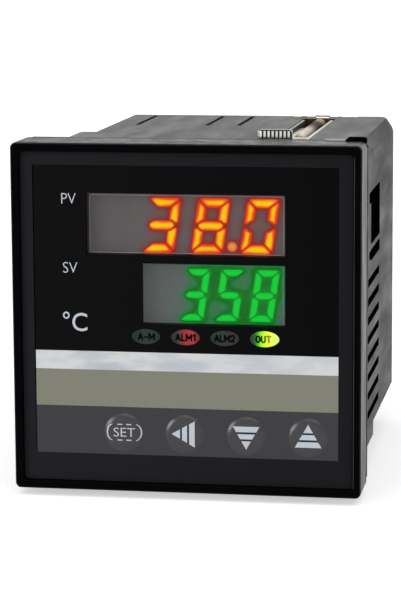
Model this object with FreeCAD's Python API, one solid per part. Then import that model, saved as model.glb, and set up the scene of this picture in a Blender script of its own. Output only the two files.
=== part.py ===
"""Panel-mounted PID temperature controller, 96 x 96 mm front, in millimetres.

Frame: X to the right as seen from the front, +Y from the front into the panel, +Z up.  The origin is the
centre of the panel cut-out, in the plane where the housing's flange meets the panel.  The moulded housing
stays in the panel; the bezel with its boards draws out of it towards -Y; two clamps slide in grooves on the
top and the bottom of the housing.  The housing looks the same after half a turn about Y.
"""
import FreeCAD
import Part

import math
import os

V = FreeCAD.Vector

# ---------------------------------------------------------------- driving sizes
# Front to back
front_size = 96.0            # bezel, width and height
bezel_depth = 15.3           # rim to the bezel's rear edge
seam = 0.2                   # line between the bezel and the flange
flange_thickness = 4.0
flange_inset = 0.2           # flange edge, in from the bezel's edge
flange_chamfer = 1.8
body_depth = 95.5            # housing behind the panel
step_depth = 36.0            # where the deeper corner cuts begin

# Housing section
body_inset = 2.1             # body, in from the bezel's edge
wall = 2.0
front_corner = (5.4, 3.4)    # top-left and bottom-right corner cut ahead of the step, along X and Z
rear_corner = (10.2, 8.0)    # the same corners behind the step
small_corner = (2.5, 3.7)    # top-right and bottom-left corners

# Side openings: a tall latch window, a low window under it, then a ladder of slots
window_y = (26.5, 52.5)
window_z = (15.3, 30.6)
low_window_z = (10.5, 13.8)
relief_length = 4.6          # narrow cuts ahead of the windows that free the latch tongue
relief_top_z = (27.3, 30.4)
relief_low_z = (11.3, 13.6)
slot_count = 8
slot_pitch = 5.45
slot_height = 2.3
slot_first_top = 6.1
slot_y = (12.0, 51.2)

# Top openings
vent_x = (-28.3, -7.0, 2.5)
vent_width = 1.3
vent_length = 31.5
vent_end = 3.5               # from the rear edge
rear_nick_x = ((14.7, 17.2), (29.8, 34.8))
rear_nick_length = 1.8
rear_nick_depth = 1.2

# Pry pocket at the top right corner, across bezel and flange
pry_width = 6.0
pry_depth = 1.4
pry_in_bezel = 3.3
pry_in_flange = 2.8

# Clamp groove and clamp
clamp_x = 23.9
clamp_width = 9.6
clamp_wing = 2.0
clamp_sheet = 0.9
clamp_side_clearance = 0.2
groove_depth = 5.2
undercut_height = 1.7
wing_height = 1.3
clamp_floor_clearance = 0.2
clamp_top_drop = 0.1         # clamp walls below the top of the housing
clamp_front = 2.3            # foot to flange at rest: a 2 mm panel fits
clamp_travel = 5.0           # it draws back this far, for a thicker panel
clamp_nut_room = 0.5         # left between clamp and nut when drawn back
deck_end = 42.0              # raised deck behind the foot
deck_drop = 1.5
foot_shift = -2.35           # the foot stands to the left of the channel
foot_thickness = 1.2
foot_rise = 4.2
foot_lift = 0.25             # foot above the housing's top face
foot_corner = 0.9
rib_count = 8
rib_proud = 0.4
rib_width = 0.6
screw_radius = 1.95
thread_clearance = 0.05
screw_tip_clearance = 0.2
screw_setback = 2.0          # screw's end, in from the rear edge
screw_slot = (0.8, 0.9)      # width and depth of the driver slot
nut_setback = 4.5            # nut pocket, in from the rear edge
nut_pocket_length = 3.5
nut_pocket = 1.0
nut_clearance = 0.1

# Bezel
rim_width = 2.4
bezel_corner = 1.6
rim_inner_corner = 1.0
rim_fillet = 0.5
bezel_wall = 2.0
overlay_depth = 1.2
overlay_thickness = 0.4
overlay_clearance = 0.1
front_wall = 2.4
print_thickness = 0.1
arm_half_height = 30.0
arm_thickness = 1.6
arm_clearance = 0.3
arm_reach = 10.0
post_inset = (2.7, 3.0)      # screw posts, in from the display board's edges
post_radius = 2.6
tie_setback = 1.0            # arm ties, ahead of the bezel's rear edge

# Printed fields of the overlay, from the top down
field_inset = 3.75           # printed fields, in from the rim
field_top_inset = 3.65
white_band_top = -9.2
khaki_band_top = -14.35
key_field_top = -24.55
key_field_bottom = -37.85

# Windows (x from, x to, z from, z to), lens and displays
pv_opening = (-27.4, 27.5, 17.6, 34.3)
sv_opening = (-12.2, 27.5, -1.4, 15.3)
lens_clearance = 0.3
lens_recess = 1.4
lens_lip = 0.7
lens_flange = 1.0
lens_corner = 0.6
display_gap = 0.3
slant = math.tan(math.radians(8.5))
segment_depth = 0.6
segment_proud = 0.05
segment_spacing = 0.3
pv_digit_size = (8.3, 14.6)  # width and height of the upright digit
pv_digit_bar = 2.2
pv_digit_pitch = 13.75
pv_dot = (1.3, 1.9)          # radius, and height of its centre above the digit's foot
pv_centre = (-0.3, 25.5)
pv_body = (55.2, 18.2)
pv_text = " 38.0"
sv_digit_size = (5.6, 13.8)
sv_digit_bar = 1.6
sv_digit_pitch = 9.55
sv_dot = (0.8, 1.2)
sv_centre = (6.9, 6.4)
sv_body = (40.4, 16.4)
sv_text = " 358"

# Indicator windows
indicator_x = 5.25
indicator_pitch = 10.86
indicator_z = -4.85
indicator_size = (8.2, 4.5)
indicator_clearance = 0.1
indicator_lip = 0.25
indicator_recess = 0.05
led_radius = 1.5
led_shift = 1.4
led_foot = (1.9, 1.0)        # radius and thickness

# Keys
key_x = 8.07
key_pitch = 17.0
key_z = -31.8
key_radius = 5.4
key_clearance = 0.25
key_crown = 0.45             # crown above the overlay at the key's centre
key_edge = 0.05              # key edge above the overlay
key_lip = 1.0
key_lip_thickness = 0.85
key_back_clearance = 0.15
key_stem = 0.9
stem_radius = 1.8
key_travel = 0.35
key_free_play = 0.1
switch_size = 6.0
switch_height = 3.6
plunger_radius = 1.65

# Boards
board_thickness = 1.6
display_board_margin = (4.3, 2.5)   # in from the bezel's inner walls
display_board_depth = 11.0   # rim to the front of the display board
side_board_inset = 8.9       # middle plane of each side board, in from the body's side
side_board_room = 0.9        # between a side board's edge and the groove's boss
side_board_setback = 1.0     # ahead of the terminal block
board_joint = 0.1
rail_front = 8.0
rail_end_room = 0.5          # between a rail and the edge socket
rail_width = 3.6
rail_overlap = 1.8
rail_clearance = 0.2
fixing_radius = 1.2
fixing_head = (2.2, 1.6)     # radius and height
fixing_bite = 4.0
fixing_slot = (0.6, 0.8)     # width and depth
header_size = (2.5, 50.0, 5.0)

# Rear terminals
block_setback = 11.0         # from the rear edge to the block's front face
block_thickness = 3.0
block_clearance = 0.15
barrier_setback = 0.3
terminal_pitch = 7.62
column_inset = 4.9           # outer end of the barriers, in from the body's side
column_width = 15.8
barrier = 1.2
plateau_setback = 1.0
plateau_wall = 2.0
louvre_count = 9
louvre_pitch = 7.0
louvre_height = 2.2
louvre_half = 18.0
plate_thickness = 0.8
plate_margin = 0.5
plate_height = 5.2
terminal_screw_inset = 9.5   # from the outer end of the barriers
terminal_screw_radius = 1.45
terminal_head = (2.75, 2.0)
terminal_screw_end = 0.3     # screw end, behind the block's front face
driver_slot = (0.7, 0.9)
finger_thickness = 0.5
finger_width = 1.8
finger_grip = 7.5            # along the board's edge
finger_clearance = 0.1
socket_lip = 1.5             # ahead of the contact fingers
socket_width = 7.0

# Parts on the side boards: sizes along X, Y, Z; places of their front lower corners, or of a can's axis, as
# the distance ahead of the edge socket and the height
transformer_place = (62.5, -31.0)
core_size = (16.0, 32.0, 27.0)
core_leg = 10.0
core_yoke = 5.0
coil_margin = 3.2
coil_clearance = 0.1
relay_size = (15.6, 19.0, 15.2)
relay_places = ((22.5, -32.0), (22.5, -9.0), (22.5, 14.0))
capacitor_radius = 6.5
capacitor_length = 20.0
capacitor_place = (50.5, 24.0)
can_groove = (0.12, 0.1)     # place along the can, and depth as a share of its radius
filter_radius = 4.0
filter_length = 11.5
filter_place = (14.5, 22.0)
processor_size = (1.6, 12.0, 12.0)
processor_place = (44.5, -6.0)
converter_size = (2.2, 10.0, 7.6)
converter_place = (18.5, -24.0)

# ---------------------------------------------------------------- worked out
front_y = -(flange_thickness + seam + bezel_depth)
flange_front = -flange_thickness
bezel_rear = front_y + bezel_depth
front_half = front_size / 2.0
body_half = front_half - body_inset
inner_half = body_half - wall
pry_x = front_half - pry_width
vent_y = (body_depth - vent_end - vent_length, body_depth - vent_end)
nut_y = (body_depth - nut_setback - nut_pocket_length, body_depth - nut_setback)
screw_rear = body_depth - screw_setback
boss_half_height = body_half - groove_depth - wall
overlay_y = front_y + overlay_depth
wall_front = overlay_y + overlay_thickness
wall_rear = wall_front + front_wall
rim_inner = front_half - rim_width
lens_rear = wall_rear + lens_flange
display_front = lens_rear + display_gap
field_half_width = rim_inner - field_inset
display_field_top = rim_inner - field_top_inset
display_board_half = (front_half - bezel_wall - display_board_margin[0],
                      front_half - bezel_wall - display_board_margin[1])
display_board_front = front_y + display_board_depth
display_board_rear = display_board_front + board_thickness
side_board_front = display_board_rear + board_joint
block_front = body_depth - block_setback
block_rear = body_depth - barrier_setback
plateau_rear = body_depth - plateau_setback
side_board_x = body_half - side_board_inset
side_board_half_height = boss_half_height - side_board_room
side_board_rear = block_front - side_board_setback
finger_front = side_board_rear - finger_grip
socket_front = finger_front - socket_lip
rail_y = (rail_front, socket_front - rail_end_room)
column_x = (body_half - column_inset - column_width, body_half - column_inset)
terminal_screw_x = column_x[1] - terminal_screw_inset
board_inner = side_board_x - board_thickness / 2.0
board_outer = side_board_x + board_thickness / 2.0
block_face = block_front + block_thickness
clamp_rear = nut_y[0] - clamp_nut_room - clamp_travel
terminal_count = int(2.0 * boss_half_height / terminal_pitch)    # as many as fit between the grooves' bosses
far = 2.0 * body_depth       # cutters reach this far past the part
past = 1.0                   # cutters start this far outside a face


def digit_sizes(size, bar, pitch, dot):
    """One display's digit sizes under their names."""
    return {
        "width": size[0],
        "height": size[1],
        "bar": bar,
        "pitch": pitch,
        "dot": dot[0],
        "dot_rise": dot[1],
    }


def ahead_of_socket(place):
    """A place on a side board in Y and Z, from its distance ahead of the edge socket and its height."""
    return socket_front - place[0], place[1]


pv_digit = digit_sizes(pv_digit_size, pv_digit_bar, pv_digit_pitch, pv_dot)
sv_digit = digit_sizes(sv_digit_size, sv_digit_bar, sv_digit_pitch, sv_dot)


# ---------------------------------------------------------------- shape helpers
def box(x, y, z):
    """A block between two values along each axis."""
    low = V(min(x), min(y), min(z))
    return Part.makeBox(abs(x[1] - x[0]), abs(y[1] - y[0]), abs(z[1] - z[0]), low)


def rod(x, z, radius, y):
    """A round bar along Y."""
    return Part.makeCylinder(radius, y[1] - y[0], V(x, y[0], z), V(0, 1, 0))


def plate(points, y):
    """A flat outline in X and Z, drawn out along Y."""
    wire = Part.makePolygon([V(px, y[0], pz) for px, pz in points + points[:1]])
    return Part.Face(wire).extrude(V(0, y[1] - y[0], 0))


def rounded(x, z, radius, y):
    """A block whose four edges along Y are rounded."""
    block = box(x, y, z)
    along = [e for e in block.Edges if abs(e.tangentAt(e.FirstParameter).y) > 0.99]
    return block.makeFillet(radius, along)


def oval(x, z, size, y):
    """An elliptic bar along Y."""
    curve = Part.Ellipse(V(0, 0, 0), size[0] / 2.0, size[1] / 2.0)
    bar = Part.Face(Part.Wire([curve.toShape()])).extrude(V(0, 0, y[1] - y[0]))
    bar.rotate(V(0, 0, 0), V(1, 0, 0), -90)
    bar.translate(V(x, y[0], z))
    return bar


def half_turn(shape):
    """A copy turned half a turn about Y."""
    copy = shape.copy()
    copy.rotate(V(0, 0, 0), V(0, 1, 0), 180)
    return copy


def mirrored(shape):
    """A copy on the other side of the YZ plane."""
    return shape.mirror(V(0, 0, 0), V(1, 0, 0))


def both_turns(shapes):
    """The shapes and their copies half a turn about Y away."""
    return shapes + [half_turn(s) for s in shapes]


def inner_cut(corner, thickness):
    """A corner cut's two lengths, moved inwards by a wall."""
    a, b = corner
    left = a * b + thickness * (math.hypot(a, b) - a - b)
    return left / b, left / a


def section(half, large, small):
    """The housing's outline: large cuts at top left and bottom right, small ones at the other corners."""
    right = [
        (-half + large[0], half),
        (half - small[0], half),
        (half, half - small[1]),
        (half, -half + large[1]),
    ]
    return right + [(-x, -z) for x, z in right]


def spaced(centre, pitch, count):
    """Evenly spaced places about a centre."""
    return [centre + (i - (count - 1) / 2.0) * pitch for i in range(count)]


def around(centre, width):
    """The two ends of a width about a centre."""
    return centre - width / 2.0, centre + width / 2.0


def across_board(side, y, z, height, clearance=0.0):
    """A block that stands on the inner face of a side board: side is -1 for the left one, 1 for the right."""
    base = board_inner - clearance
    return box((side * base, side * (base - height)), y, z)


# ---------------------------------------------------------------- housing
def clamp_groove():
    """The space of one clamp in the top of the housing, with its nut pocket."""
    half = clamp_width / 2.0 + clamp_side_clearance
    floor = body_half - groove_depth
    under = half + clamp_wing
    upper = box((clamp_x - half, clamp_x + half), (0.0, far), (floor, far))
    lower = box((clamp_x - under, clamp_x + under), (0.0, far), (floor, floor + undercut_height))
    pocket_half = half + nut_pocket
    pocket_floor = floor + clamp_floor_clearance + clamp_sheet - nut_clearance
    pocket = box((clamp_x - pocket_half, clamp_x + pocket_half), nut_y, (pocket_floor, far))
    return upper.fuse([lower, pocket])


def side_openings():
    """Openings through the right wall of the housing."""
    across = (inner_half - wall, far)
    cuts = [
        box(across, window_y, window_z),
        box(across, window_y, low_window_z),
        box(across, (window_y[0] - relief_length, window_y[0] + wall), relief_top_z),
        box(across, (window_y[0] - relief_length, window_y[0] + wall), relief_low_z),
    ]
    for i in range(slot_count):
        top = slot_first_top - i * slot_pitch
        cuts.append(box(across, slot_y, (top - slot_height, top)))
    return cuts


def top_openings():
    """Vent slots and rear nicks in the top wall."""
    cuts = []
    for x in vent_x:
        cuts.append(box(around(x, vent_width), vent_y, (inner_half - wall, far)))
    for x in rear_nick_x:
        cuts.append(box(x, (body_depth - rear_nick_length, far), (body_half - rear_nick_depth, far)))
    return cuts


def pry_pocket(y):
    """The pocket at the top right corner between two depths."""
    return box((pry_x, far), y, (front_half - pry_depth, far))


def make_housing():
    flange_half = front_half - flange_inset
    cut = (flange_chamfer, flange_chamfer)
    flange = plate(section(flange_half, cut, cut), (flange_front, 0.0))
    ahead = plate(section(body_half, front_corner, small_corner), (0.0, step_depth))
    behind = plate(section(body_half, rear_corner, small_corner), (step_depth, body_depth))
    outer = flange.fuse([ahead, behind])

    inner_small = inner_cut(small_corner, wall)
    hollow_ahead = plate(section(inner_half, inner_cut(front_corner, wall), inner_small),
                         (flange_front - past, step_depth - wall))
    hollow_behind = plate(section(inner_half, inner_cut(rear_corner, wall), inner_small),
                          (step_depth - wall, body_depth + past))
    shell = outer.cut(hollow_ahead.fuse(hollow_behind))

    under = clamp_width / 2.0 + clamp_side_clearance + clamp_wing + wall
    boss = box((clamp_x - under, clamp_x + under), (0.0, body_depth),
               (boss_half_height, inner_half + wall / 2.0))
    added = both_turns([boss])

    groove_half = board_thickness / 2.0 + rail_clearance
    for side in (-side_board_x, side_board_x):
        rail = box(around(side, rail_width), rail_y,
                   (side_board_half_height - rail_overlap, inner_half + wall / 2.0))
        slit = box((side - groove_half, side + groove_half), rail_y,
                   (0.0, side_board_half_height + rail_clearance))
        added += both_turns([rail.cut(slit).common(outer)])
    shell = shell.fuse(added)

    cuts = both_turns([clamp_groove()] + side_openings() + top_openings())
    cuts += both_turns([pry_pocket((flange_front - seam, flange_front + pry_in_flange))])
    return shell.cut(Part.makeCompound(cuts)).removeSplitter()


# ---------------------------------------------------------------- clamps
def make_clamp():
    half = clamp_width / 2.0
    floor = body_half - groove_depth + clamp_floor_clearance
    top = body_half - clamp_top_drop
    left, right = clamp_x - half, clamp_x + half
    run = (clamp_front + rib_proud, clamp_rear)
    base = box((left - clamp_wing, right + clamp_wing), run, (floor, floor + clamp_sheet))
    wings = box((left - clamp_wing, right + clamp_wing), run, (floor, floor + wing_height))
    wings = wings.cut(box((left + clamp_sheet, right - clamp_sheet), (0.0, far), (0.0, far)))
    walls = [
        box((left, left + clamp_sheet), run, (floor, top)),
        box((right - clamp_sheet, right), run, (floor, top)),
    ]
    deck = box((left, right), (run[0], deck_end), (floor, body_half - deck_drop))
    foot_left, foot_right = left + foot_shift, right + foot_shift
    foot_y = (run[0], run[0] + foot_thickness)
    foot_top = body_half + foot_rise
    root = box((left, foot_right), foot_y, (floor, foot_top - foot_corner))
    toe = rounded((foot_left, foot_right), (body_half + foot_lift, foot_top), foot_corner, foot_y)
    parts = [wings, deck, root, toe] + walls
    usable = clamp_width - 2.0 * foot_corner
    for x in spaced((foot_left + foot_right) / 2.0, usable / (rib_count - 1), rib_count):
        parts.append(box(around(x, rib_width),
                         (clamp_front, foot_y[1]),
                         (body_half + foot_lift, foot_top - rib_proud)))
    return base.fuse(parts).removeSplitter()


def screw_height():
    """Height of the clamp screw's axis: it rests just above the clamp's floor."""
    return body_half - clamp_top_drop - screw_radius


def make_clamp_screw():
    z = screw_height()
    screw = rod(clamp_x, z, screw_radius, (deck_end + screw_tip_clearance, screw_rear))
    slot = box(around(clamp_x, screw_slot[0]),
               (screw_rear - screw_slot[1], far), (0.0, far))
    return screw.cut(slot)


def make_clamp_nut():
    half = clamp_width / 2.0 + clamp_side_clearance + nut_pocket - nut_clearance
    low = body_half - groove_depth + clamp_floor_clearance + clamp_sheet
    nut = box((clamp_x - half, clamp_x + half), (nut_y[0] + nut_clearance, nut_y[1] - nut_clearance),
              (low, body_half - clamp_top_drop))
    return nut.cut(rod(clamp_x, screw_height(), screw_radius + thread_clearance, (0.0, far)))


# ---------------------------------------------------------------- bezel and overlay
def opening(bounds, y, grow=0.0, corner=0.0):
    """A window's outline, grown by some amount, between two depths."""
    x = (bounds[0] - grow, bounds[1] + grow)
    z = (bounds[2] - grow, bounds[3] + grow)
    return rounded(x, z, corner, y) if corner else box(x, y, z)


def front_openings(y):
    """Everything that is cut through the front wall and the overlay."""
    cuts = [opening(b, y) for b in (pv_opening, sv_opening)]
    for x in spaced(indicator_x, indicator_pitch, 4):
        cuts.append(oval(x, indicator_z, indicator_size, y))
    for x in spaced(key_x, key_pitch, 4):
        cuts.append(rod(x, key_z, key_radius + key_clearance, y))
    return cuts


def post_places():
    x = display_board_half[0] - post_inset[0]
    z = display_board_half[1] - post_inset[1]
    return [(sx * x, sz * z) for sx in (-1, 1) for sz in (-1, 1)]


def make_bezel():
    span = (-front_half, front_half)
    block = rounded(span, span, bezel_corner, (front_y, bezel_rear))
    front_edges = [e for e in block.Edges if e.BoundBox.YMax < front_y + 0.001]
    block = block.makeFillet(rim_fillet, front_edges)
    inner = (-rim_inner, rim_inner)
    tray = rounded(inner, inner, rim_inner_corner, (front_y - past, wall_front))
    room_half = front_half - bezel_wall
    room = box((-room_half, room_half), (wall_rear, far), (-room_half, room_half))
    bezel = block.cut([tray, room])

    arm_outer = inner_half - arm_clearance
    arm = box((arm_outer - arm_thickness, arm_outer), (wall_rear - front_wall / 2.0, arm_reach),
              (-arm_half_height, arm_half_height))
    tie = box((arm_outer - arm_thickness, room_half + bezel_wall / 2.0),
              (wall_rear, bezel_rear - tie_setback),
              (arm_half_height - arm_thickness, arm_half_height))
    ties = [tie, half_turn(mirrored(tie))]
    added = []
    for piece in [arm] + ties:
        added += [piece, mirrored(piece)]
    for x, z in post_places():
        added.append(rod(x, z, post_radius, (wall_rear - front_wall / 2.0, display_board_front)))
    bezel = bezel.fuse(added)
    cuts = front_openings((front_y - past, wall_rear + past))
    for x, z in post_places():
        cuts.append(rod(x, z, fixing_radius + thread_clearance, (wall_rear, far)))
    cuts += both_turns([pry_pocket((bezel_rear - pry_in_bezel, far))])
    return bezel.cut(Part.makeCompound(cuts)).removeSplitter()


def field_bounds():
    """Name and upper and lower edge of each printed field."""
    return [
        ("print_display_field", display_field_top, white_band_top),
        ("print_white_band", white_band_top, khaki_band_top),
        ("print_khaki_band", khaki_band_top, key_field_top),
        ("print_key_field", key_field_top, key_field_bottom),
    ]


def make_fields():
    """The overlay's printed fields, each a thin layer."""
    y = (overlay_y, overlay_y + print_thickness)
    cutters = Part.makeCompound(front_openings((front_y, wall_rear)))
    fields = {}
    for name, top, bottom in field_bounds():
        field = box((-field_half_width, field_half_width), y, (bottom, top))
        fields[name] = field.cut(cutters)
    return fields


def make_overlay():
    half = rim_inner - overlay_clearance
    span = (-half, half)
    sheet = rounded(span, span, rim_inner_corner - overlay_clearance, (overlay_y, wall_front))
    bed = box((-field_half_width, field_half_width), (overlay_y - past, overlay_y + print_thickness),
              (key_field_bottom, display_field_top))
    return sheet.cut(bed).cut(Part.makeCompound(front_openings((front_y, wall_rear))))


def make_lens(bounds):
    y0 = overlay_y + lens_recess
    pane = opening(bounds, (y0, lens_rear), -lens_clearance, lens_corner)
    lip = opening(bounds, (wall_rear, lens_rear), lens_lip)
    return pane.fuse(lip).removeSplitter()


def make_indicator(x):
    grown = (indicator_size[0] - 2 * indicator_clearance, indicator_size[1] - 2 * indicator_clearance)
    lip = (indicator_size[0] + 2 * indicator_lip, indicator_size[1] + 2 * indicator_lip)
    pane = oval(x, indicator_z, grown, (overlay_y + indicator_recess, lens_rear))
    return pane.fuse(oval(x, indicator_z, lip, (wall_rear, lens_rear)))


def make_led(x):
    body = rod(x, indicator_z, led_radius, (display_front, display_board_front))
    foot = rod(x, indicator_z, led_foot[0], (display_board_front - led_foot[1], display_board_front))
    return body.fuse(foot)


# ---------------------------------------------------------------- digits
LIT = {
    "0": "abcdef", "1": "bc", "2": "abdeg", "3": "abcdg", "4": "bcfg", "5": "acdfg",
    "6": "acdefg", "7": "abc", "8": "abcdefg", "9": "abcdfg", " ": "",
}


def bar_outline(name, digit):
    """Outline of one bar of an upright digit about the digit's centre."""
    w, h, t = digit["width"] / 2.0, digit["height"] / 2.0, digit["bar"]
    s = segment_spacing / 2.0
    if name in "ad":
        points = [(-w + s * 2, h), (w - s * 2, h), (w - t - s, h - t), (-w + t + s, h - t)]
    elif name == "g":
        points = [(-w + t / 2 + s * 2, 0), (-w + t + s, t / 2), (w - t - s, t / 2),
                  (w - t / 2 - s * 2, 0), (w - t - s, -t / 2), (-w + t + s, -t / 2)]
    else:
        points = [(w, h - s * 2), (w, t / 4 + s), (w - t / 2, s * 1.5),
                  (w - t, t / 2 + s), (w - t, h - t - s)]
    if name in "ef":
        points = [(-x, z) for x, z in points]
    if name in "cde":
        points = [(x, -z) for x, z in points]
    return points


def bar_solid(name, digit, centre, y):
    points = [(centre[0] + x + slant * z, centre[1] + z) for x, z in bar_outline(name, digit)]
    return plate(points, y)


def cells(text):
    """A reading as pairs: each character, and whether a point follows it."""
    pairs = []
    for character in text:
        if character == ".":
            pairs[-1] = (pairs[-1][0], True)
        else:
            pairs.append((character, False))
    return pairs


def make_display(text, digit, centre, size):
    """Display body with its bars and points: the body, the lit solids and the unlit solids."""
    y = (display_front - segment_proud, display_front + segment_depth)
    lit, dark = [], []
    shown = cells(text)
    for i, x in enumerate(spaced(centre[0], digit["pitch"], len(shown))):
        character, point = shown[i]
        for name in "abcdefg":
            group = lit if name in LIT[character] else dark
            group.append(bar_solid(name, digit, (x, centre[1]), y))
        if i < len(shown) - 1:
            drop = digit["dot_rise"] - digit["height"] / 2.0
            dot = rod(x + digit["pitch"] / 2.0 + slant * drop, centre[1] + drop, digit["dot"], y)
            group = lit if point else dark
            group.append(dot)
    x = around(centre[0], size[0])
    z = around(centre[1], size[1])
    body = box(x, (display_front, display_board_front), z)
    body = body.cut(Part.makeCompound(lit + dark))
    return body, lit, dark


# ---------------------------------------------------------------- keys and switches
def make_key(x):
    edge_y = overlay_y - key_edge
    crown_y = overlay_y - key_crown
    rise = edge_y - crown_y
    radius = (key_radius ** 2 + rise ** 2) / (2.0 * rise)
    ball = Part.makeSphere(radius, V(x, crown_y + radius, key_z))
    lip_y = wall_rear + key_back_clearance
    cap = rod(x, key_z, key_radius, (crown_y, lip_y + key_lip_thickness)).common(ball)
    lip = rod(x, key_z, key_radius + key_lip, (lip_y, lip_y + key_lip_thickness))
    stem_end = lip_y + key_lip_thickness + key_stem
    stem = rod(x, key_z, stem_radius, (lip_y, stem_end))
    return cap.fuse([lip, stem]).removeSplitter()


def make_switch(x):
    half = switch_size / 2.0
    body_front = display_board_front - switch_height
    body = box((x - half, x + half), (body_front, display_board_front), (key_z - half, key_z + half))
    tip = wall_rear + key_back_clearance + key_lip_thickness + key_stem + key_travel + key_free_play
    return body.fuse(rod(x, key_z, plunger_radius, (tip, body_front)))


# ---------------------------------------------------------------- boards
def make_display_board():
    hx, hz = display_board_half
    board = box((-hx, hx), (display_board_front, display_board_rear), (-hz, hz))
    holes = [rod(x, z, fixing_radius + rail_clearance, (front_y, far)) for x, z in post_places()]
    return board.cut(Part.makeCompound(holes))


def make_board_screws():
    radius, height = fixing_head
    screws = []
    for x, z in post_places():
        head = rod(x, z, radius, (display_board_rear, display_board_rear + height))
        shank = rod(x, z, fixing_radius, (display_board_front - fixing_bite, display_board_rear))
        slot = box((x - radius, x + radius), (display_board_rear + height - fixing_slot[1], far),
                   around(z, fixing_slot[0]))
        screws.append(head.fuse(shank).cut(slot))
    return screws


def make_side_board(side):
    return box((side * board_inner, side * board_outer), (side_board_front, side_board_rear),
               (-side_board_half_height, side_board_half_height))


def make_header(side):
    width, height, length = header_size
    return across_board(side, (display_board_rear, display_board_rear + length), (-height / 2, height / 2),
                        width, board_joint)


def make_transformer():
    """Laminated core and its winding, standing on the left board."""
    y0, z0 = ahead_of_socket(transformer_place)
    dx, dy, dz = core_size
    x0 = -board_inner + coil_margin
    yc = y0 + dy / 2.0
    core = box((x0, x0 + dx), (y0, y0 + dy), (z0, z0 + dz))
    gap_z = (z0 + core_yoke, z0 + dz - core_yoke)
    for gap_y in ((y0 + core_yoke, yc - core_leg / 2.0), (yc + core_leg / 2.0, y0 + dy - core_yoke)):
        core = core.cut(box((x0 - past, x0 + dx + past), gap_y, gap_z))
    reach = dy / 2.0 - core_yoke - coil_clearance
    coil = box((x0 - coil_margin, x0 + dx + coil_margin), (yc - reach, yc + reach),
               (gap_z[0] + coil_clearance, gap_z[1] - coil_clearance))
    leg = core_leg / 2.0 + coil_clearance
    bore = box((x0 - coil_clearance, x0 + dx + coil_clearance), (yc - leg, yc + leg), (z0, z0 + dz))
    return core, coil.cut(bore)


def make_relay(place):
    height, length, width = relay_size
    y, z = ahead_of_socket(place)
    return across_board(-1, (y, y + length), (z, z + width), height)


def make_can(side, place, radius, length):
    """An upright capacitor on a side board, with its crimp groove."""
    y, z = ahead_of_socket(place)
    base = side * board_inner
    can = Part.makeCylinder(radius, length, V(base, y, z), V(-side, 0, 0))
    ring_x = base - side * length * can_groove[0]
    ring = Part.makeTorus(radius, radius * can_groove[1], V(ring_x, y, z), V(-side, 0, 0))
    return can.cut(ring)


def make_chip(size, place):
    y, z = ahead_of_socket(place)
    return across_board(1, (y, y + size[1]), (z, z + size[2]), size[0])


# ---------------------------------------------------------------- rear terminals
def make_terminal_block():
    inner = section(inner_half - block_clearance, inner_cut(rear_corner, wall), inner_cut(small_corner, wall))
    base = plate(inner, (block_front, block_face))
    zs = spaced(0.0, terminal_pitch, terminal_count + 1)
    x0, x1 = column_x
    added = []
    for side in (-1, 1):
        for z in zs:
            added.append(box((side * x0, side * x1), (block_front, block_rear), around(z, barrier)))
        added.append(box((side * x0, side * (x0 + barrier)), (block_front, block_rear), (zs[0], zs[-1])))
    half_z = zs[-1] + barrier / 2.0
    added.append(box((-column_x[0], column_x[0]), (block_front, plateau_rear), (-half_z, half_z)))
    block = base.fuse(added)

    room = column_x[0] - plateau_wall
    room_z = half_z - plateau_wall
    cuts = [box((-room, room), (block_front - past, plateau_rear - plateau_wall), (-room_z, room_z))]
    for z in spaced(0.0, louvre_pitch, louvre_count):
        cuts.append(box((-louvre_half, louvre_half), (block_front, far), around(z, louvre_height)))
    finger_half = finger_width / 2.0 + finger_clearance
    outer = board_inner
    for side in (-1, 1):
        for z in spaced(0.0, terminal_pitch, terminal_count):
            cuts.append(rod(side * terminal_screw_x, z, terminal_screw_radius + thread_clearance, (0.0, far)))
            cuts.append(box((side * (outer - finger_thickness - 2 * finger_clearance), side * outer),
                            (0.0, far), (z - finger_half, z + finger_half)))
    under = clamp_width / 2.0 + clamp_side_clearance + clamp_wing + wall + block_clearance
    boss_floor = boss_half_height - block_clearance
    cuts += both_turns([box((clamp_x - under, clamp_x + under), (0.0, far), (boss_floor, far))])
    return block.cut(Part.makeCompound(cuts)).removeSplitter()


def make_socket(side):
    """Edge connector that grips a side board at the back."""
    mid = side * side_board_x
    slit = board_thickness / 2.0 + rail_clearance
    high = side_board_half_height + rail_clearance
    block = box(around(mid, socket_width), (socket_front, block_front),
                (-high, high))
    cuts = [box((mid - slit, mid + slit), (0.0, side_board_rear + rail_clearance), (-high, high))]
    finger_half = finger_width / 2.0 + finger_clearance
    inner = side * (board_inner - finger_thickness - 2 * finger_clearance)
    for z in spaced(0.0, terminal_pitch, terminal_count):
        cuts.append(box((inner, side * side_board_x), (finger_front - finger_clearance, far),
                        (z - finger_half, z + finger_half)))
    return block.cut(Part.makeCompound(cuts))


def make_terminals():
    """The right column: connection plates with their contact fingers, and the wire screws."""
    plates, screws = [], []
    x0 = column_x[0] + barrier + plate_margin
    x1 = column_x[1] - plate_margin
    radius, height = terminal_head
    top = block_face + plate_thickness
    for z in spaced(0.0, terminal_pitch, terminal_count):
        pad = box((x0, x1), (block_face, top), around(z, plate_height))
        outer = board_inner - finger_clearance
        finger = box((outer - finger_thickness, outer), (finger_front, top),
                     around(z, finger_width))
        hole = rod(terminal_screw_x, z, terminal_screw_radius + thread_clearance, (0.0, far))
        plates.append(pad.fuse(finger).cut(hole).removeSplitter())
        head = rod(terminal_screw_x, z, radius, (top, top + height))
        shank = rod(terminal_screw_x, z, terminal_screw_radius, (block_front + terminal_screw_end, top))
        slot = box((terminal_screw_x - radius, terminal_screw_x + radius),
                   (top + height - driver_slot[1], far),
                   around(z, driver_slot[0]))
        screws.append(head.fuse(shank).cut(slot))
    return plates, screws


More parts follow.
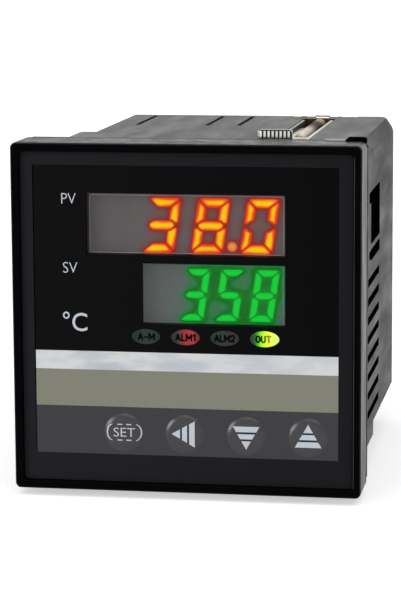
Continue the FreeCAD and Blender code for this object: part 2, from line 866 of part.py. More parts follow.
# ---------------------------------------------------------------- all nodes
def build():
    """Every node's shape by name."""
    nodes = {"housing": make_housing(), "terminal_block": make_terminal_block()}
    plates, screws = make_terminals()
    nodes["right_terminals"] = Part.makeCompound(plates)
    nodes["right_terminal_screws"] = Part.makeCompound(screws)
    nodes["left_terminals"] = Part.makeCompound([mirrored(s) for s in plates])
    nodes["left_terminal_screws"] = Part.makeCompound([mirrored(s) for s in screws])
    nodes["left_edge_socket"] = make_socket(-1)
    nodes["right_edge_socket"] = make_socket(1)

    nodes["top_clamp"] = make_clamp()
    nodes["top_clamp_screw"] = make_clamp_screw()
    nodes["top_clamp_nut"] = make_clamp_nut()
    for part in ("clamp", "clamp_screw", "clamp_nut"):
        nodes["bottom_" + part] = half_turn(nodes["top_" + part])

    nodes["bezel"] = make_bezel()
    nodes["overlay"] = make_overlay()
    nodes.update(make_fields())
    nodes["pv_window"] = make_lens(pv_opening)
    nodes["sv_window"] = make_lens(sv_opening)
    displays = (("pv", pv_text, pv_digit, pv_centre, pv_body), ("sv", sv_text, sv_digit, sv_centre, sv_body))
    for name, text, digit, centre, size in displays:
        body, lit, dark = make_display(text, digit, centre, size)
        nodes[name + "_display"] = body
        nodes[name + "_lit_bars"] = Part.makeCompound(lit)
        nodes[name + "_dark_bars"] = Part.makeCompound(dark)

    for name, x in zip(("auto", "alarm_1", "alarm_2", "output"), spaced(indicator_x, indicator_pitch, 4)):
        nodes[name + "_indicator"] = make_indicator(x)
        nodes[name + "_led"] = make_led(x + led_shift)
    for name, x in zip(("set", "shift", "down", "up"), spaced(key_x, key_pitch, 4)):
        nodes[name + "_key"] = make_key(x)
        nodes[name + "_switch"] = make_switch(x)

    nodes["display_board"] = make_display_board()
    nodes["board_screws"] = Part.makeCompound(make_board_screws())
    nodes["power_board"] = make_side_board(-1)
    nodes["main_board"] = make_side_board(1)
    nodes["power_header"] = make_header(-1)
    nodes["main_header"] = make_header(1)
    nodes["transformer_core"], nodes["transformer_coil"] = make_transformer()
    for name, place in zip(("output_relay", "alarm_1_relay", "alarm_2_relay"), relay_places):
        nodes[name] = make_relay(place)
    nodes["reservoir_capacitor"] = make_can(-1, capacitor_place, capacitor_radius, capacitor_length)
    nodes["filter_capacitor"] = make_can(1, filter_place, filter_radius, filter_length)
    nodes["processor"] = make_chip(processor_size, processor_place)
    nodes["converter"] = make_chip(converter_size, converter_place)
    return nodes


def main():
    os.makedirs("parts", exist_ok=True)
    for name, shape in build().items():
        shape.exportStep(os.path.join("parts", name + ".step"))
        box_ = shape.BoundBox
        print("%-24s solids %2d valid %s volume %9.1f  x %6.1f %6.1f  y %6.1f %6.1f  z %6.1f %6.1f" % (
            name, len(shape.Solids), shape.isValid(), shape.Volume,
            box_.XMin, box_.XMax, box_.YMin, box_.YMax, box_.ZMin, box_.ZMax))


main()
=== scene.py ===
"""Looks of a panel-mounted PID temperature controller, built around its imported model.

Frame: X to the right as seen from the front, +Y into the panel, +Z up, origin at the centre of the panel
cut-out.  Lengths in this file are millimetres until a mesh is made, where MM turns them into metres.
"""
import logging
import math
from collections.abc import Callable, Iterable, Sequence
from dataclasses import dataclass, field
from enum import Enum
from functools import lru_cache
from typing import Protocol

import bmesh
import bpy
import numpy as np
from mathutils import Matrix, Vector


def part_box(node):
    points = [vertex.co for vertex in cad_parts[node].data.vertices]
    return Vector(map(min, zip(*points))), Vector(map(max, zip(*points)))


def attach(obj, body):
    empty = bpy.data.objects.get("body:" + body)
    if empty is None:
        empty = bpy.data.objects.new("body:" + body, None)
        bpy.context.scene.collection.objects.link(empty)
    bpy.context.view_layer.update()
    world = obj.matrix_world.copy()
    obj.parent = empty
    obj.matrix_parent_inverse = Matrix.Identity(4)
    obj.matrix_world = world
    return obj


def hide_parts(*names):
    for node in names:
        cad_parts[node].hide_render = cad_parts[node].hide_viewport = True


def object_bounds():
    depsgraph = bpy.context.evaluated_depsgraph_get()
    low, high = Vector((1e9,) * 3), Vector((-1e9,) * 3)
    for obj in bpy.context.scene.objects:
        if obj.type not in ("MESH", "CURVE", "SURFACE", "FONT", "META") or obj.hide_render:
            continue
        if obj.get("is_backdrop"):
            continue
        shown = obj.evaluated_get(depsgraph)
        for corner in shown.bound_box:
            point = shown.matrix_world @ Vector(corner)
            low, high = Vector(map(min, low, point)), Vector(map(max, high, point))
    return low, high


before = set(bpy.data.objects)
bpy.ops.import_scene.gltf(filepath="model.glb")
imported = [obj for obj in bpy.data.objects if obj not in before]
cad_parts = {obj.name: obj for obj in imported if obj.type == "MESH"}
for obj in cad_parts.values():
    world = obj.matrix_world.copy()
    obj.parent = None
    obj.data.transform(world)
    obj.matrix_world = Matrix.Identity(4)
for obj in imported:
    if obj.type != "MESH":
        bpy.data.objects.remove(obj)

LOG = logging.getLogger("controller")
MM = 0.001
TERMINAL_PITCH = 7.62   # between two terminals, and between the board contacts that meet them
TERMINAL_COUNT = 10     # on each side
PIN_PITCH = 2.54
PIN_COUNT = 19          # in each row of a header
PIN_INSET = 1.3         # from a header's front and rear to its rows
CORE = "core"           # attribute: 0 at the rim of a lit bar, towards 1 at its middle line
NEARNESS = "nearness"   # attribute: how strongly the lit bars light a place

Colour = tuple[float, float, float]
Point2 = tuple[float, float]
Point3 = tuple[float, float, float]
Range = tuple[float, float]
Face = tuple[int, ...]
Stops = tuple[tuple[float, Colour], ...]
Socket = bpy.types.NodeSocket


# ---- named options
class Body(Enum):
    """The bodies that move on their own."""

    HOUSING = "housing"
    CHASSIS = "chassis"
    SET_KEY = "set_key"
    SHIFT_KEY = "shift_key"
    DOWN_KEY = "down_key"
    UP_KEY = "up_key"
    TOP_CLAMP = "top_clamp"
    BOTTOM_CLAMP = "bottom_clamp"
    TOP_SCREW = "top_clamp_screw"
    BOTTOM_SCREW = "bottom_clamp_screw"


class Slot(Enum):
    """The record's material slots."""

    HOUSING = "housing_plastic"
    BEZEL = "bezel_plastic"
    OVERLAY = "overlay_film"
    BLACK = "print_black"
    WHITE = "print_white"
    KHAKI = "print_khaki"
    GREY = "print_grey"
    WINDOW = "window_tint"
    DISPLAY = "display_face"
    RED = "segment_red"
    GREEN = "segment_green"
    DARK_RED = "segment_dark_red"
    DARK_GREEN = "segment_dark_green"
    LAMP_GREEN = "indicator_green"
    LAMP_RED = "indicator_red"
    LAMP_LIT = "indicator_lit"
    LED = "led_body"
    KEY = "key_rubber"
    SWITCH = "switch_body"
    BOARD = "board_green"
    CONNECTOR = "connector_black"
    SOCKET = "connector_cream"
    TERMINAL = "terminal_plastic"
    BRASS = "terminal_brass"
    STEEL = "screw_steel"
    CLAMP = "clamp_metal"
    NUT = "clamp_brass"
    CORE = "core_steel"
    TAPE = "coil_tape"
    RELAY = "relay_blue"
    CAN = "can_black"
    CHIP = "chip_black"


class Axis(Enum):
    """Directions that a turned shape can stand along."""

    X = (1.0, 0.0, 0.0)
    LEFT = (-1.0, 0.0, 0.0)
    Y = (0.0, 1.0, 0.0)
    Z = (0.0, 0.0, 1.0)


class KeySign(Enum):
    """What is printed on a key."""

    SET = "set"
    LEFT = "left"
    DOWN = "down"
    UP = "up"


def srgb(red: float, green: float, blue: float) -> Colour:
    """A colour on the display's scale, from 0 to 255, as linear values."""
    shares = (red / 255.0, green / 255.0, blue / 255.0)
    return tuple(part / 12.92 if part <= 0.04045 else ((part + 0.055) / 1.055) ** 2.4 for part in shares)


def scale(*rows: tuple[float, int, int, int]) -> Stops:
    """Stops from rows of a place, from 0 to 1, and its colour on the display scale."""
    return tuple((place, srgb(*colour)) for place, *colour in rows)


def shaded(colour: Colour, factor: float) -> Colour:
    """The colour made darker or lighter by a factor."""
    return tuple(min(1.0, part * factor) for part in colour)


# ---- material nodes
class Graph:
    """The node tree of a material or of the sky, with its lengths in millimetres."""

    def __init__(self, owner: bpy.types.Material | bpy.types.World, output: str) -> None:
        """Start with nothing but the output.

        Args:
            owner: What the nodes belong to.
            output: Type of its output node, without the ShaderNode prefix.
        """
        owner.use_nodes = True
        self.owner = owner
        self.tree = owner.node_tree
        self.tree.nodes.clear()
        self.output = self.node(output)

    def node(self, kind: str, inputs: dict | None = None, **settings: object) -> bpy.types.Node:
        """Add a node.

        Args:
            kind: The node's type without its ShaderNode prefix.
            inputs: Values or sockets for its inputs, by name or index.
            settings: Attributes of the node.

        Returns:
            The node.
        """
        made = self.tree.nodes.new("ShaderNode" + kind)
        for key, value in settings.items():
            setattr(made, key, value)
        for key, value in (inputs or {}).items():
            self.feed(made.inputs[key], value)
        return made

    def feed(self, socket: Socket, value: object) -> None:
        """Link a socket to another one, or set its plain value.

        Args:
            socket: The socket.
            value: The other one, or the value.
        """
        if isinstance(value, Socket):
            self.tree.links.new(value, socket)
        elif isinstance(value, tuple) and len(value) == 3 and socket.type == "RGBA":
            socket.default_value = (*value, 1.0)
        else:
            socket.default_value = value

    def place(self, stretch: Point3 = (1.0, 1.0, 1.0)) -> Socket:
        """Coordinates in millimetres, divided by a stretch along each axis."""
        where, shares = self.node("TexCoord").outputs["Object"], [1.0 / (MM * part) for part in stretch]
        return self.node("Mapping", {"Vector": where, "Scale": shares}).outputs["Vector"]

    def along(self, axis: str) -> Socket:
        """One coordinate in millimetres."""
        return self.node("SeparateXYZ", {0: self.place()}).outputs[axis]

    def noise(self, size: float, detail: float = 3.0, stretch: Point3 = (1.0, 1.0, 1.0)) -> Socket:
        """Cloudy noise.

        Args:
            size: Size of its clouds.
            detail: Octaves.
            stretch: How much longer the clouds are along each axis.

        Returns:
            A value about 0.5.
        """
        inputs = {"Vector": self.place(stretch), "Scale": 1.0 / size, "Detail": detail}
        return self.node("TexNoise", inputs).outputs["Fac"]

    def waves(self, size: float, axis: str, distortion: float = 0.0) -> Socket:
        """Straight stripes across one axis."""
        inputs = {"Vector": self.place(), "Scale": 0.314 / size, "Distortion": distortion}
        return self.node("TexWave", inputs, wave_type="BANDS", bands_direction=axis).outputs["Fac"]

    def math(self, operation: str, first: object, second: object = 0.0) -> Socket:
        """A sum, product or other operation on two values."""
        return self.node("Math", {0: first, 1: second}, operation=operation).outputs[0]

    def between(self, value: Socket, source: Range, target: Range = (0.0, 1.0)) -> Socket:
        """A value moved from one range to another.

        Args:
            value: The value.
            source: The range it lies in.
            target: The range it moves to, and whose ends hold it.

        Returns:
            The new value.
        """
        names = ("From Min", "From Max", "To Min", "To Max")
        inputs = {"Value": value, **dict(zip(names, (*source, *target)))}
        return self.node("MapRange", inputs).outputs["Result"]

    def ramp(self, value: Socket, stops: Stops) -> Socket:
        """A colour read along a scale.

        Args:
            value: The place on the scale, from 0 to 1.
            stops: Places on the scale, each with its colour.

        Returns:
            The colour.
        """
        made = self.node("ValToRGB", {"Fac": value})
        elements = made.color_ramp.elements
        while len(elements) < len(stops):
            elements.new(1.0)
        for element, (position, colour) in zip(elements, stops):
            element.position = position
            element.color = (*colour, 1.0)
        return made.outputs["Color"]

    def blend(self, share: object, first: object, second: object, mode: str = "MIX") -> Socket:
        """A mix of two colours.

        Args:
            share: Share of the second one.
            first: The first colour.
            second: The second colour.
            mode: How the second one meets the first.

        Returns:
            The mixed colour.
        """
        made = self.node("Mix", data_type="RGBA", blend_type=mode)
        colours = [socket for socket in made.inputs if socket.type == "RGBA"]
        self.feed(made.inputs["Factor"], share)
        self.feed(colours[0], first)
        self.feed(colours[1], second)
        return next(socket for socket in made.outputs if socket.type == "RGBA")

    def bump(self, height: Socket, depth: float, strength: float = 1.0) -> Socket:
        """A normal from a height.

        Args:
            height: The height, from 0 to 1.
            depth: What a height of 1 stands for.
            strength: Share of the effect.

        Returns:
            The normal.
        """
        inputs = {"Height": height, "Distance": depth * MM, "Strength": strength}
        return self.node("Bump", inputs).outputs["Normal"]

    def surface(self, **inputs: object) -> bpy.types.Material:
        """Close the material with one principled shader.

        Args:
            inputs: Its inputs by name, with _ for a space.

        Returns:
            The material.
        """
        named = {key.replace("_", " "): value for key, value in inputs.items()}
        self.close(self.node("BsdfPrincipled", named))
        return self.owner

    def close(self, shader: bpy.types.Node) -> None:
        """Link the last shader to the output."""
        self.tree.links.new(shader.outputs[0], self.output.inputs["Surface"])


def material_graph(slot: Slot, label: str = "") -> Graph:
    """The empty node tree of a new material, named after its slot."""
    return Graph(bpy.data.materials.new(slot.value + label), "OutputMaterial")


class Look(Protocol):
    """A finish: the record's slot it belongs to, and a way to make its material."""

    slot: Slot

    def material(self) -> bpy.types.Material:
        """Make the material.

        Returns:
            The material.
        """


@lru_cache(maxsize=None)
def paint(look: Look) -> bpy.types.Material:
    """The material of a finish, made once."""
    return look.material()


# ---- finishes
@dataclass(frozen=True)
class Plastic:
    """Moulded plastic: clouds in colour and gloss, a fine grain, and a little dust."""

    slot: Slot
    colour: Colour
    roughness: float = 0.45
    specular: float = 0.5
    mottle: float = 0.10
    cloud: float = 14.0
    cloud_stretch: Point3 = (1.0, 1.0, 1.0)
    detail: float = 4.0
    gloss_swing: float = 0.06
    grain: float = 0.35
    relief: float = 0.012
    dust: float = 0.0
    sheen_tint: Colour = (1.0, 1.0, 1.0)
    label: str = ""

    def material(self) -> bpy.types.Material:
        """Make the material.

        Returns:
            The material.
        """
        graph = material_graph(self.slot, self.label)
        clouds = graph.between(graph.noise(self.cloud, self.detail, self.cloud_stretch), (0.3, 0.7))
        low, high = shaded(self.colour, 1.0 - self.mottle), shaded(self.colour, 1.0 + self.mottle)
        colour = graph.blend(clouds, low, high)
        if self.dust:
            specks = graph.between(graph.noise(0.55, 2.0), (0.70, 0.76))
            patches = graph.between(graph.noise(9.0, 2.0), (0.45, 0.65))
            share = graph.math("MULTIPLY", graph.math("MULTIPLY", specks, patches), self.dust)
            colour = graph.blend(share, colour, (0.32, 0.31, 0.29))
        gloss = graph.between(graph.noise(self.cloud * 0.6, self.detail, self.cloud_stretch), (0.3, 0.7),
                              (self.roughness - self.gloss_swing, self.roughness + self.gloss_swing))
        normal = graph.bump(graph.noise(self.grain, 3.0), self.relief)
        return graph.surface(Base_Color=colour, Roughness=gloss, Specular_IOR_Level=self.specular,
                             Specular_Tint=self.sheen_tint, Normal=normal)


@dataclass(frozen=True)
class Film:
    """Printed film: a flat ink with a fine woven tooth and soft clouds of gloss, and where asked painted
    light that lightens it towards the left.
    """

    slot: Slot
    colour: Colour
    roughness: float = 0.38
    specular: float = 0.3
    tooth: float = 0.55
    swing: float = 0.05
    # painted light: how much lighter the film is made at its left end, fading to nothing at its right
    left_light: float = 0.0
    ramp_reach: float = 42.0
    smudge: Colour | None = None
    label: str = ""

    def material(self) -> bpy.types.Material:
        """Make the material.

        Returns:
            The material.
        """
        graph = material_graph(self.slot, self.label)
        weave = graph.math("MULTIPLY", graph.waves(self.tooth, "X", 0.6), graph.waves(self.tooth, "Z", 0.6))
        grain = graph.math("MULTIPLY", graph.noise(0.5), 0.4)
        fine = graph.math("ADD", graph.math("MULTIPLY", weave, 0.6), grain)
        low, high = shaded(self.colour, 1.0 - self.swing), shaded(self.colour, 1.0 + self.swing)
        colour = graph.blend(fine, low, high)
        # painted light: lighter towards the left, where the side light comes from
        if self.left_light:
            share = graph.between(graph.along("X"), (-self.ramp_reach, self.ramp_reach), (self.left_light, 0.0))
            colour = graph.blend(share, colour, shaded(self.colour, 2.0))
        if self.smudge:
            clouds = graph.between(graph.noise(7.0, 3.0, (1.8, 1.0, 0.5)), (0.42, 0.62), (0.0, 0.85))
            fading = graph.between(graph.along("X"), (-self.ramp_reach, self.ramp_reach), (1.0, 0.45))
            colour = graph.blend(graph.math("MULTIPLY", clouds, fading), colour, self.smudge)
        gloss_range = (self.roughness - 0.04, self.roughness + 0.04)
        gloss = graph.between(graph.noise(7.0, 4.0), (0.3, 0.7), gloss_range)
        return graph.surface(Base_Color=colour, Roughness=gloss, Specular_IOR_Level=self.specular,
                             Normal=graph.bump(fine, 0.006, 0.6))


@dataclass(frozen=True)
class Pane:
    """Thin tinted pane that shows what is behind it."""

    slot: Slot
    colour: Colour
    cover: float
    roughness: float = 0.16

    def material(self) -> bpy.types.Material:
        """Make the material.

        Returns:
            The material.
        """
        graph = material_graph(self.slot, "_pane")
        gloss = graph.between(graph.noise(6.0, 3.0), (0.3, 0.7), (self.roughness * 0.8, self.roughness * 1.2))
        made = graph.surface(Base_Color=self.colour, Roughness=gloss, Alpha=self.cover,
                             Specular_IOR_Level=0.15)
        made.surface_render_method = "BLENDED"
        return made


@dataclass(frozen=True)
class Glow:
    """Lit plastic whose colour changes from its rim to its core."""

    slot: Slot
    stops: Stops
    swing: float = 0.0
    label: str = "glow"

    def material(self) -> bpy.types.Material:
        """Make the material.

        Returns:
            The material.
        """
        graph = material_graph(self.slot, "_" + self.label)
        value = graph.node("Attribute", attribute_name=CORE).outputs["Fac"]
        patches = graph.between(graph.noise(6.0, 1.0), (0.35, 0.65), (-self.swing, 0.0))
        lit = graph.between(value, (0.0, 0.4))
        value = graph.math("ADD", value, graph.math("MULTIPLY", patches, lit))
        return graph.surface(Base_Color=(0.004, 0.004, 0.004), Roughness=0.4, Specular_IOR_Level=0.05,
                             Emission_Color=graph.ramp(value, self.stops), Emission_Strength=1.0)


@dataclass(frozen=True)
class DisplayFace:
    """Display face: grey diffusing plastic that takes the colour of the light beside it."""

    slot: Slot
    grey: Colour
    stops: Stops
    fade: Range
    label: str

    def material(self) -> bpy.types.Material:
        """Make the material.

        Returns:
            The material.
        """
        graph = material_graph(self.slot, "_" + self.label)
        value = graph.node("Attribute", attribute_name=NEARNESS).outputs["Fac"]
        grain = graph.between(graph.noise(0.8, 3.0), (0.3, 0.7))
        grey = graph.blend(grain, shaded(self.grey, 0.95), shaded(self.grey, 1.05))
        clear = graph.between(value, self.fade, (1.0, 0.0))
        base = graph.blend(clear, (0.002, 0.002, 0.002), grey)
        return graph.surface(Base_Color=base, Roughness=0.5, Specular_IOR_Level=0.15,
                             Emission_Color=graph.ramp(value, self.stops), Emission_Strength=1.0)


@dataclass(frozen=True)
class Lamp:
    """Indicator pane whose colour and light change from its left end to its right end."""

    slot: Slot
    reach: Range
    body: Stops
    light: Stops
    label: str

    def material(self) -> bpy.types.Material:
        """Make the material.

        Returns:
            The material.
        """
        graph = material_graph(self.slot, "_" + self.label)
        share = graph.between(graph.along("X"), self.reach)
        share = graph.math("ADD", share, graph.between(graph.noise(1.6, 3.0), (0.25, 0.75), (-0.04, 0.04)))
        return graph.surface(Base_Color=graph.ramp(share, self.body), Roughness=0.32, Specular_IOR_Level=0.1,
                             Emission_Color=graph.ramp(share, self.light), Emission_Strength=1.0,
                             Normal=graph.bump(graph.noise(0.5), 0.01, 0.5))


@dataclass(frozen=True)
class Metal:
    """Plated or bare metal: drawn lines, stains and worn gloss, and where asked a darkening towards the rear
    and colours along its length.
    """

    slot: Slot
    colour: Colour
    roughness: float = 0.3
    stain: Colour | None = None
    line_stretch: Point3 = (1.0, 14.0, 1.0)
    relief: float = 0.01
    # colour it darkens to towards the rear, and where along Y that happens
    rear_darkening: Colour | None = None
    rear_darkening_reach: Range = (6.0, 30.0)
    lengths: Stops = ()
    lengths_reach: Range = (0.0, 100.0)
    label: str = ""

    def material(self) -> bpy.types.Material:
        """Make the material.

        Returns:
            The material.
        """
        graph = material_graph(self.slot, self.label)
        patches = graph.between(graph.noise(3.5, 4.0), (0.4, 0.68))
        lines = graph.noise(0.3, 3.0, self.line_stretch)
        plain = graph.blend(lines, shaded(self.colour, 0.86), shaded(self.colour, 1.1))
        if self.lengths:
            share = graph.between(graph.along("Y"), self.lengths_reach)
            colour = graph.blend(1.0, plain, graph.ramp(share, self.lengths), "MULTIPLY")
        else:
            stain = self.stain or shaded(self.colour, 0.7)
            colour = graph.blend(graph.math("MULTIPLY", patches, 0.6), plain, stain)
        # darker towards the rear; for the clamp's channel and deck this is painted shade
        if self.rear_darkening:
            colour = graph.blend(graph.between(graph.along("Y"), self.rear_darkening_reach), colour, self.rear_darkening)
        gloss_range = (self.roughness - 0.08, self.roughness + 0.12)
        gloss = graph.between(graph.noise(2.0, 5.0), (0.3, 0.7), gloss_range)
        return graph.surface(Base_Color=colour, Metallic=1.0, Roughness=gloss,
                             Normal=graph.bump(lines, self.relief, 0.7))


@dataclass(frozen=True)
class Circuit:
    """Solder mask over copper tracks on woven glass."""

    slot: Slot
    mask: Colour
    copper: Colour
    cell: float = 3.2

    def material(self) -> bpy.types.Material:
        """Make the material.

        Returns:
            The material.
        """
        graph = material_graph(self.slot)
        inputs = {"Vector": graph.place(), "Scale": 1.0 / self.cell, "Randomness": 0.85}
        cells = graph.node("TexVoronoi", inputs, distance="CHEBYCHEV", feature="F1").outputs["Distance"]
        tracks = graph.between(graph.math("PINGPONG", graph.math("MULTIPLY", cells, 2.2), 0.28), (0.10, 0.13))
        weave = graph.math("MULTIPLY", graph.waves(0.7, "Y"), graph.waves(0.7, "Z"))
        mask = graph.blend(weave, shaded(self.mask, 0.85), shaded(self.mask, 1.2))
        return graph.surface(Base_Color=graph.blend(tracks, self.copper, mask), Roughness=0.28,
                             Normal=graph.bump(tracks, 0.03, 0.5))


@dataclass(frozen=True)
class Laminate:
    """Stacked steel sheets seen on edge, with a varnish."""

    slot: Slot
    sheet: float = 0.5

    def material(self) -> bpy.types.Material:
        """Make the material.

        Returns:
            The material.
        """
        graph = material_graph(self.slot)
        lines = graph.waves(self.sheet, "X", 0.3)
        colour = graph.blend(graph.noise(2.5, 4.0), (0.16, 0.15, 0.14), (0.32, 0.29, 0.26))
        dark = graph.blend(graph.between(lines, (0.1, 0.5)), (0.04, 0.035, 0.03), colour)
        return graph.surface(Base_Color=dark, Metallic=0.8, Roughness=0.45, Normal=graph.bump(lines, 0.08))


@dataclass(frozen=True)
class Tape:
    """Layers of clear yellow tape over enamelled copper wire."""

    slot: Slot
    wire: Colour = (0.405, 0.171, 0.036)

    def material(self) -> bpy.types.Material:
        """Make the material.

        Returns:
            The material.
        """
        graph = material_graph(self.slot)
        wraps = graph.waves(3.0, "Z", 1.2)
        colour = graph.blend(graph.noise(4.0, 4.0), (0.52, 0.30, 0.03), (0.72, 0.50, 0.08))
        return graph.surface(Base_Color=graph.blend(wraps, self.wire, colour),
                             Roughness=0.22, Normal=graph.bump(wraps, 0.06, 0.6))


class Palette:
    """All finishes of the controller."""

    housing = Plastic(Slot.HOUSING, (0.044, 0.042, 0.040), 0.40, 0.115, mottle=0.16, cloud=7.0,
                      cloud_stretch=(1.3, 7.0, 1.3), detail=2.0, gloss_swing=0.06, grain=0.6, relief=0.015,
                      dust=0.5, sheen_tint=(1.0, 0.985, 0.97))
    # painted shade: a darker, less reflective copy of the housing plastic for its sides, so they render
    # darker than the top
    housing_shaded_side = Plastic(Slot.HOUSING, (0.040, 0.037, 0.035), 0.42, 0.030, mottle=0.2, cloud=9.0,
                           cloud_stretch=(1.0, 6.0, 1.3), detail=2.0, gloss_swing=0.09, grain=0.6,
                           relief=0.015, dust=0.5, sheen_tint=(1.0, 0.97, 0.95), label="_side")
    # painted shade: near-black for the walls of the housing's side openings, the pry pockets and the band at
    # the bezel's seam
    hollow = Plastic(Slot.BEZEL, (0.0012, 0.0012, 0.0014), 0.9, 0.0, mottle=0.1, label="_hollow")
    bezel = Plastic(Slot.BEZEL, (0.0010, 0.0010, 0.0012), 0.36, 0.015, mottle=0.15, dust=0.04, relief=0.008)
    # painted sheen: a lighter, more reflective copy of the bezel plastic for its outer sides and edges
    bezel_lit_side = Plastic(Slot.BEZEL, (0.012, 0.0115, 0.012), 0.34, 0.10, mottle=0.2, dust=0.3, relief=0.01,
                         cloud=6.0, cloud_stretch=(1.0, 1.0, 4.0), gloss_swing=0.08, label="_side")
    # painted highlight: a lighter grey for a thin line on the rim's front at the right
    painted_glint = Plastic(Slot.BEZEL, (0.022, 0.021, 0.022), 0.3, 0.15, mottle=0.45, cloud=8.0, label="_glint")
    # painted shade: near-black matt filler for the pry pockets
    pocket_shade_black = Plastic(Slot.CONNECTOR, (0.0014, 0.0014, 0.0016), 0.8, 0.0, mottle=0.2, label="_rubber")
    # painted highlight: light grey for the raised lip at each pry pocket, standing for the edge's highlight
    highlight_lip = Plastic(Slot.BEZEL, (0.55, 0.54, 0.53), 0.4, 0.3, mottle=0.15, label="_lip")
    # overlay and black field: painted light makes them lighter towards the left
    overlay = Film(Slot.OVERLAY, srgb(28, 28, 32), 0.40, 0.03, left_light=0.3)
    black = Film(Slot.BLACK, srgb(9, 9, 10), 0.36, 0.02, left_light=0.8)
    white = Film(Slot.WHITE, (0.69, 0.70, 0.71), 0.42, 0.2, swing=0.02, smudge=(0.43, 0.49, 0.56))
    khaki = Film(Slot.KHAKI, (0.230, 0.234, 0.182), 0.42, 0.2, swing=0.06)
    grey = Film(Slot.GREY, (0.047, 0.045, 0.049), 0.38, 0.16, swing=0.2)
    key = Film(Slot.KEY, (0.031, 0.029, 0.033), 0.24, 0.45, swing=0.2)
    ink = Film(Slot.WHITE, (0.56, 0.60, 0.66), 0.42, 0.2, swing=0.03, label="_ink")
    lamp_ink = Film(Slot.BLACK, (0.002, 0.003, 0.003), 0.6, 0.02, swing=0.1, label="_ink")
    sign_ground = Film(Slot.BLACK, (0.020, 0.028, 0.045), 0.5, 0.1, swing=0.1, label="_ground")
    pane = Pane(Slot.WINDOW, (0.02, 0.02, 0.02), 0.06)
    # painted shade: dark strip on the pane's left, for the shaded wall of the opening seen through it
    pane_edge_shade = Plastic(Slot.WINDOW, (0.024, 0.020, 0.022), 0.35, 0.2, mottle=0.2, label="_edge")
    # painted highlights: pale lines for the edges of the display panes
    red_pane_highlight = Plastic(Slot.WINDOW, (0.30, 0.23, 0.25), 0.35, 0.2, mottle=0.35, cloud=6.0, label="_line")
    green_pane_highlight = Plastic(Slot.WINDOW, (0.10, 0.29, 0.15), 0.35, 0.2, mottle=0.35, cloud=6.0,
                         label="_green_pane_highlight")
    led = Plastic(Slot.LED, (0.35, 0.35, 0.33), 0.2, 0.5)
    switch = Plastic(Slot.SWITCH, (0.02, 0.02, 0.02), 0.35, 0.5)
    board = Circuit(Slot.BOARD, (0.006, 0.055, 0.020), (0.020, 0.12, 0.035))
    header = Plastic(Slot.CONNECTOR, (0.018, 0.018, 0.018), 0.42, 0.5)
    socket = Plastic(Slot.SOCKET, (0.56, 0.50, 0.38), 0.45, 0.5)
    terminal = Plastic(Slot.TERMINAL, (0.022, 0.022, 0.022), 0.42, 0.5, mottle=0.18, dust=0.3)
    brass = Metal(Slot.BRASS, (0.80, 0.72, 0.55), 0.28, stain=(0.55, 0.45, 0.28))
    steel = Metal(Slot.STEEL, (0.72, 0.71, 0.68), 0.26)
    # the plate darkens towards the rear
    clamp = Metal(Slot.CLAMP, (0.74, 0.68, 0.61), 0.30, stain=(0.46, 0.40, 0.33), rear_darkening=(0.34, 0.30, 0.25),
                  rear_darkening_reach=(30.0, 90.0))
    # painted shade: a darker copy of the clamp metal for the tops inboard of the channel
    clamp_shaded_top = Metal(Slot.CLAMP, (0.30, 0.26, 0.25), 0.38, stain=(0.20, 0.16, 0.15), label="_dull")
    # painted shade: a dark copy of the clamp metal for upright faces and the channel floor, darker still
    # towards the rear
    clamp_shaded_inside = Metal(Slot.CLAMP, (0.10, 0.085, 0.055), 0.45, stain=(0.05, 0.042, 0.026),
                         rear_darkening=(0.028, 0.023, 0.015), rear_darkening_reach=(30.0, 70.0), label="_inside")
    # painted shade: the deck darkens to nearly black towards its rear end
    clamp_deck = Metal(Slot.CLAMP, (0.66, 0.62, 0.57), 0.42, stain=(0.46, 0.42, 0.33),
                       rear_darkening=(0.035, 0.031, 0.026), rear_darkening_reach=(56.0, 70.0), label="_deck")
    # painted shade: dark for the foot's faces between its ribs and on its inner part
    clamp_foot_shade = Metal(Slot.CLAMP, (0.07, 0.066, 0.062), 0.5, label="_dark")
    # painted highlight: a lighter copy of the clamp metal for the foot
    clamp_lit_foot = Metal(Slot.CLAMP, (0.86, 0.85, 0.82), 0.26, stain=(0.40, 0.39, 0.37), label="_bright")
    # colours along the screw: the dark middle bands are painted shade where the channel hides it, and the
    # rear end is tinted brown
    screw = Metal(Slot.STEEL, (0.90, 0.88, 0.85), 0.42, label="_plated", lengths=(
        (0.42, (0.50, 0.47, 0.42)), (0.56, (0.42, 0.39, 0.35)), (0.64, (0.14, 0.12, 0.10)),
        (0.70, (0.05, 0.043, 0.034)), (0.77, (0.07, 0.055, 0.04)), (0.83, (0.30, 0.23, 0.15)),
        (1.0, (0.22, 0.165, 0.10))))
    nut = Metal(Slot.NUT, (0.075, 0.058, 0.036), 0.42, stain=(0.05, 0.038, 0.022))
    gilt = Metal(Slot.NUT, (0.62, 0.44, 0.18), 0.30, stain=(0.40, 0.27, 0.10), label="_gilt")
    core = Laminate(Slot.CORE)
    tape = Tape(Slot.TAPE)
    relay = Plastic(Slot.RELAY, (0.020, 0.085, 0.36), 0.34, 0.5, mottle=0.06)
    can = Plastic(Slot.CAN, (0.014, 0.014, 0.018), 0.25, 0.5, mottle=0.05)
    stripe = Film(Slot.CAN, (0.30, 0.33, 0.36), 0.25, 0.5)
    aluminium = Metal(Slot.STEEL, (0.70, 0.70, 0.71), 0.35, line_stretch=(1.0, 1.0, 1.0))
    chip = Plastic(Slot.CHIP, (0.016, 0.016, 0.016), 0.5, 0.4, relief=0.015)


# ---- meshes
def span(node: str) -> tuple[Vector, Vector]:
    """Lowest and highest corner of a CAD node."""
    low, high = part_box(node)
    return low / MM, high / MM


def middle(node: str) -> Vector:
    """Centre of a CAD node's box."""
    low, high = span(node)
    return (low + high) / 2.0


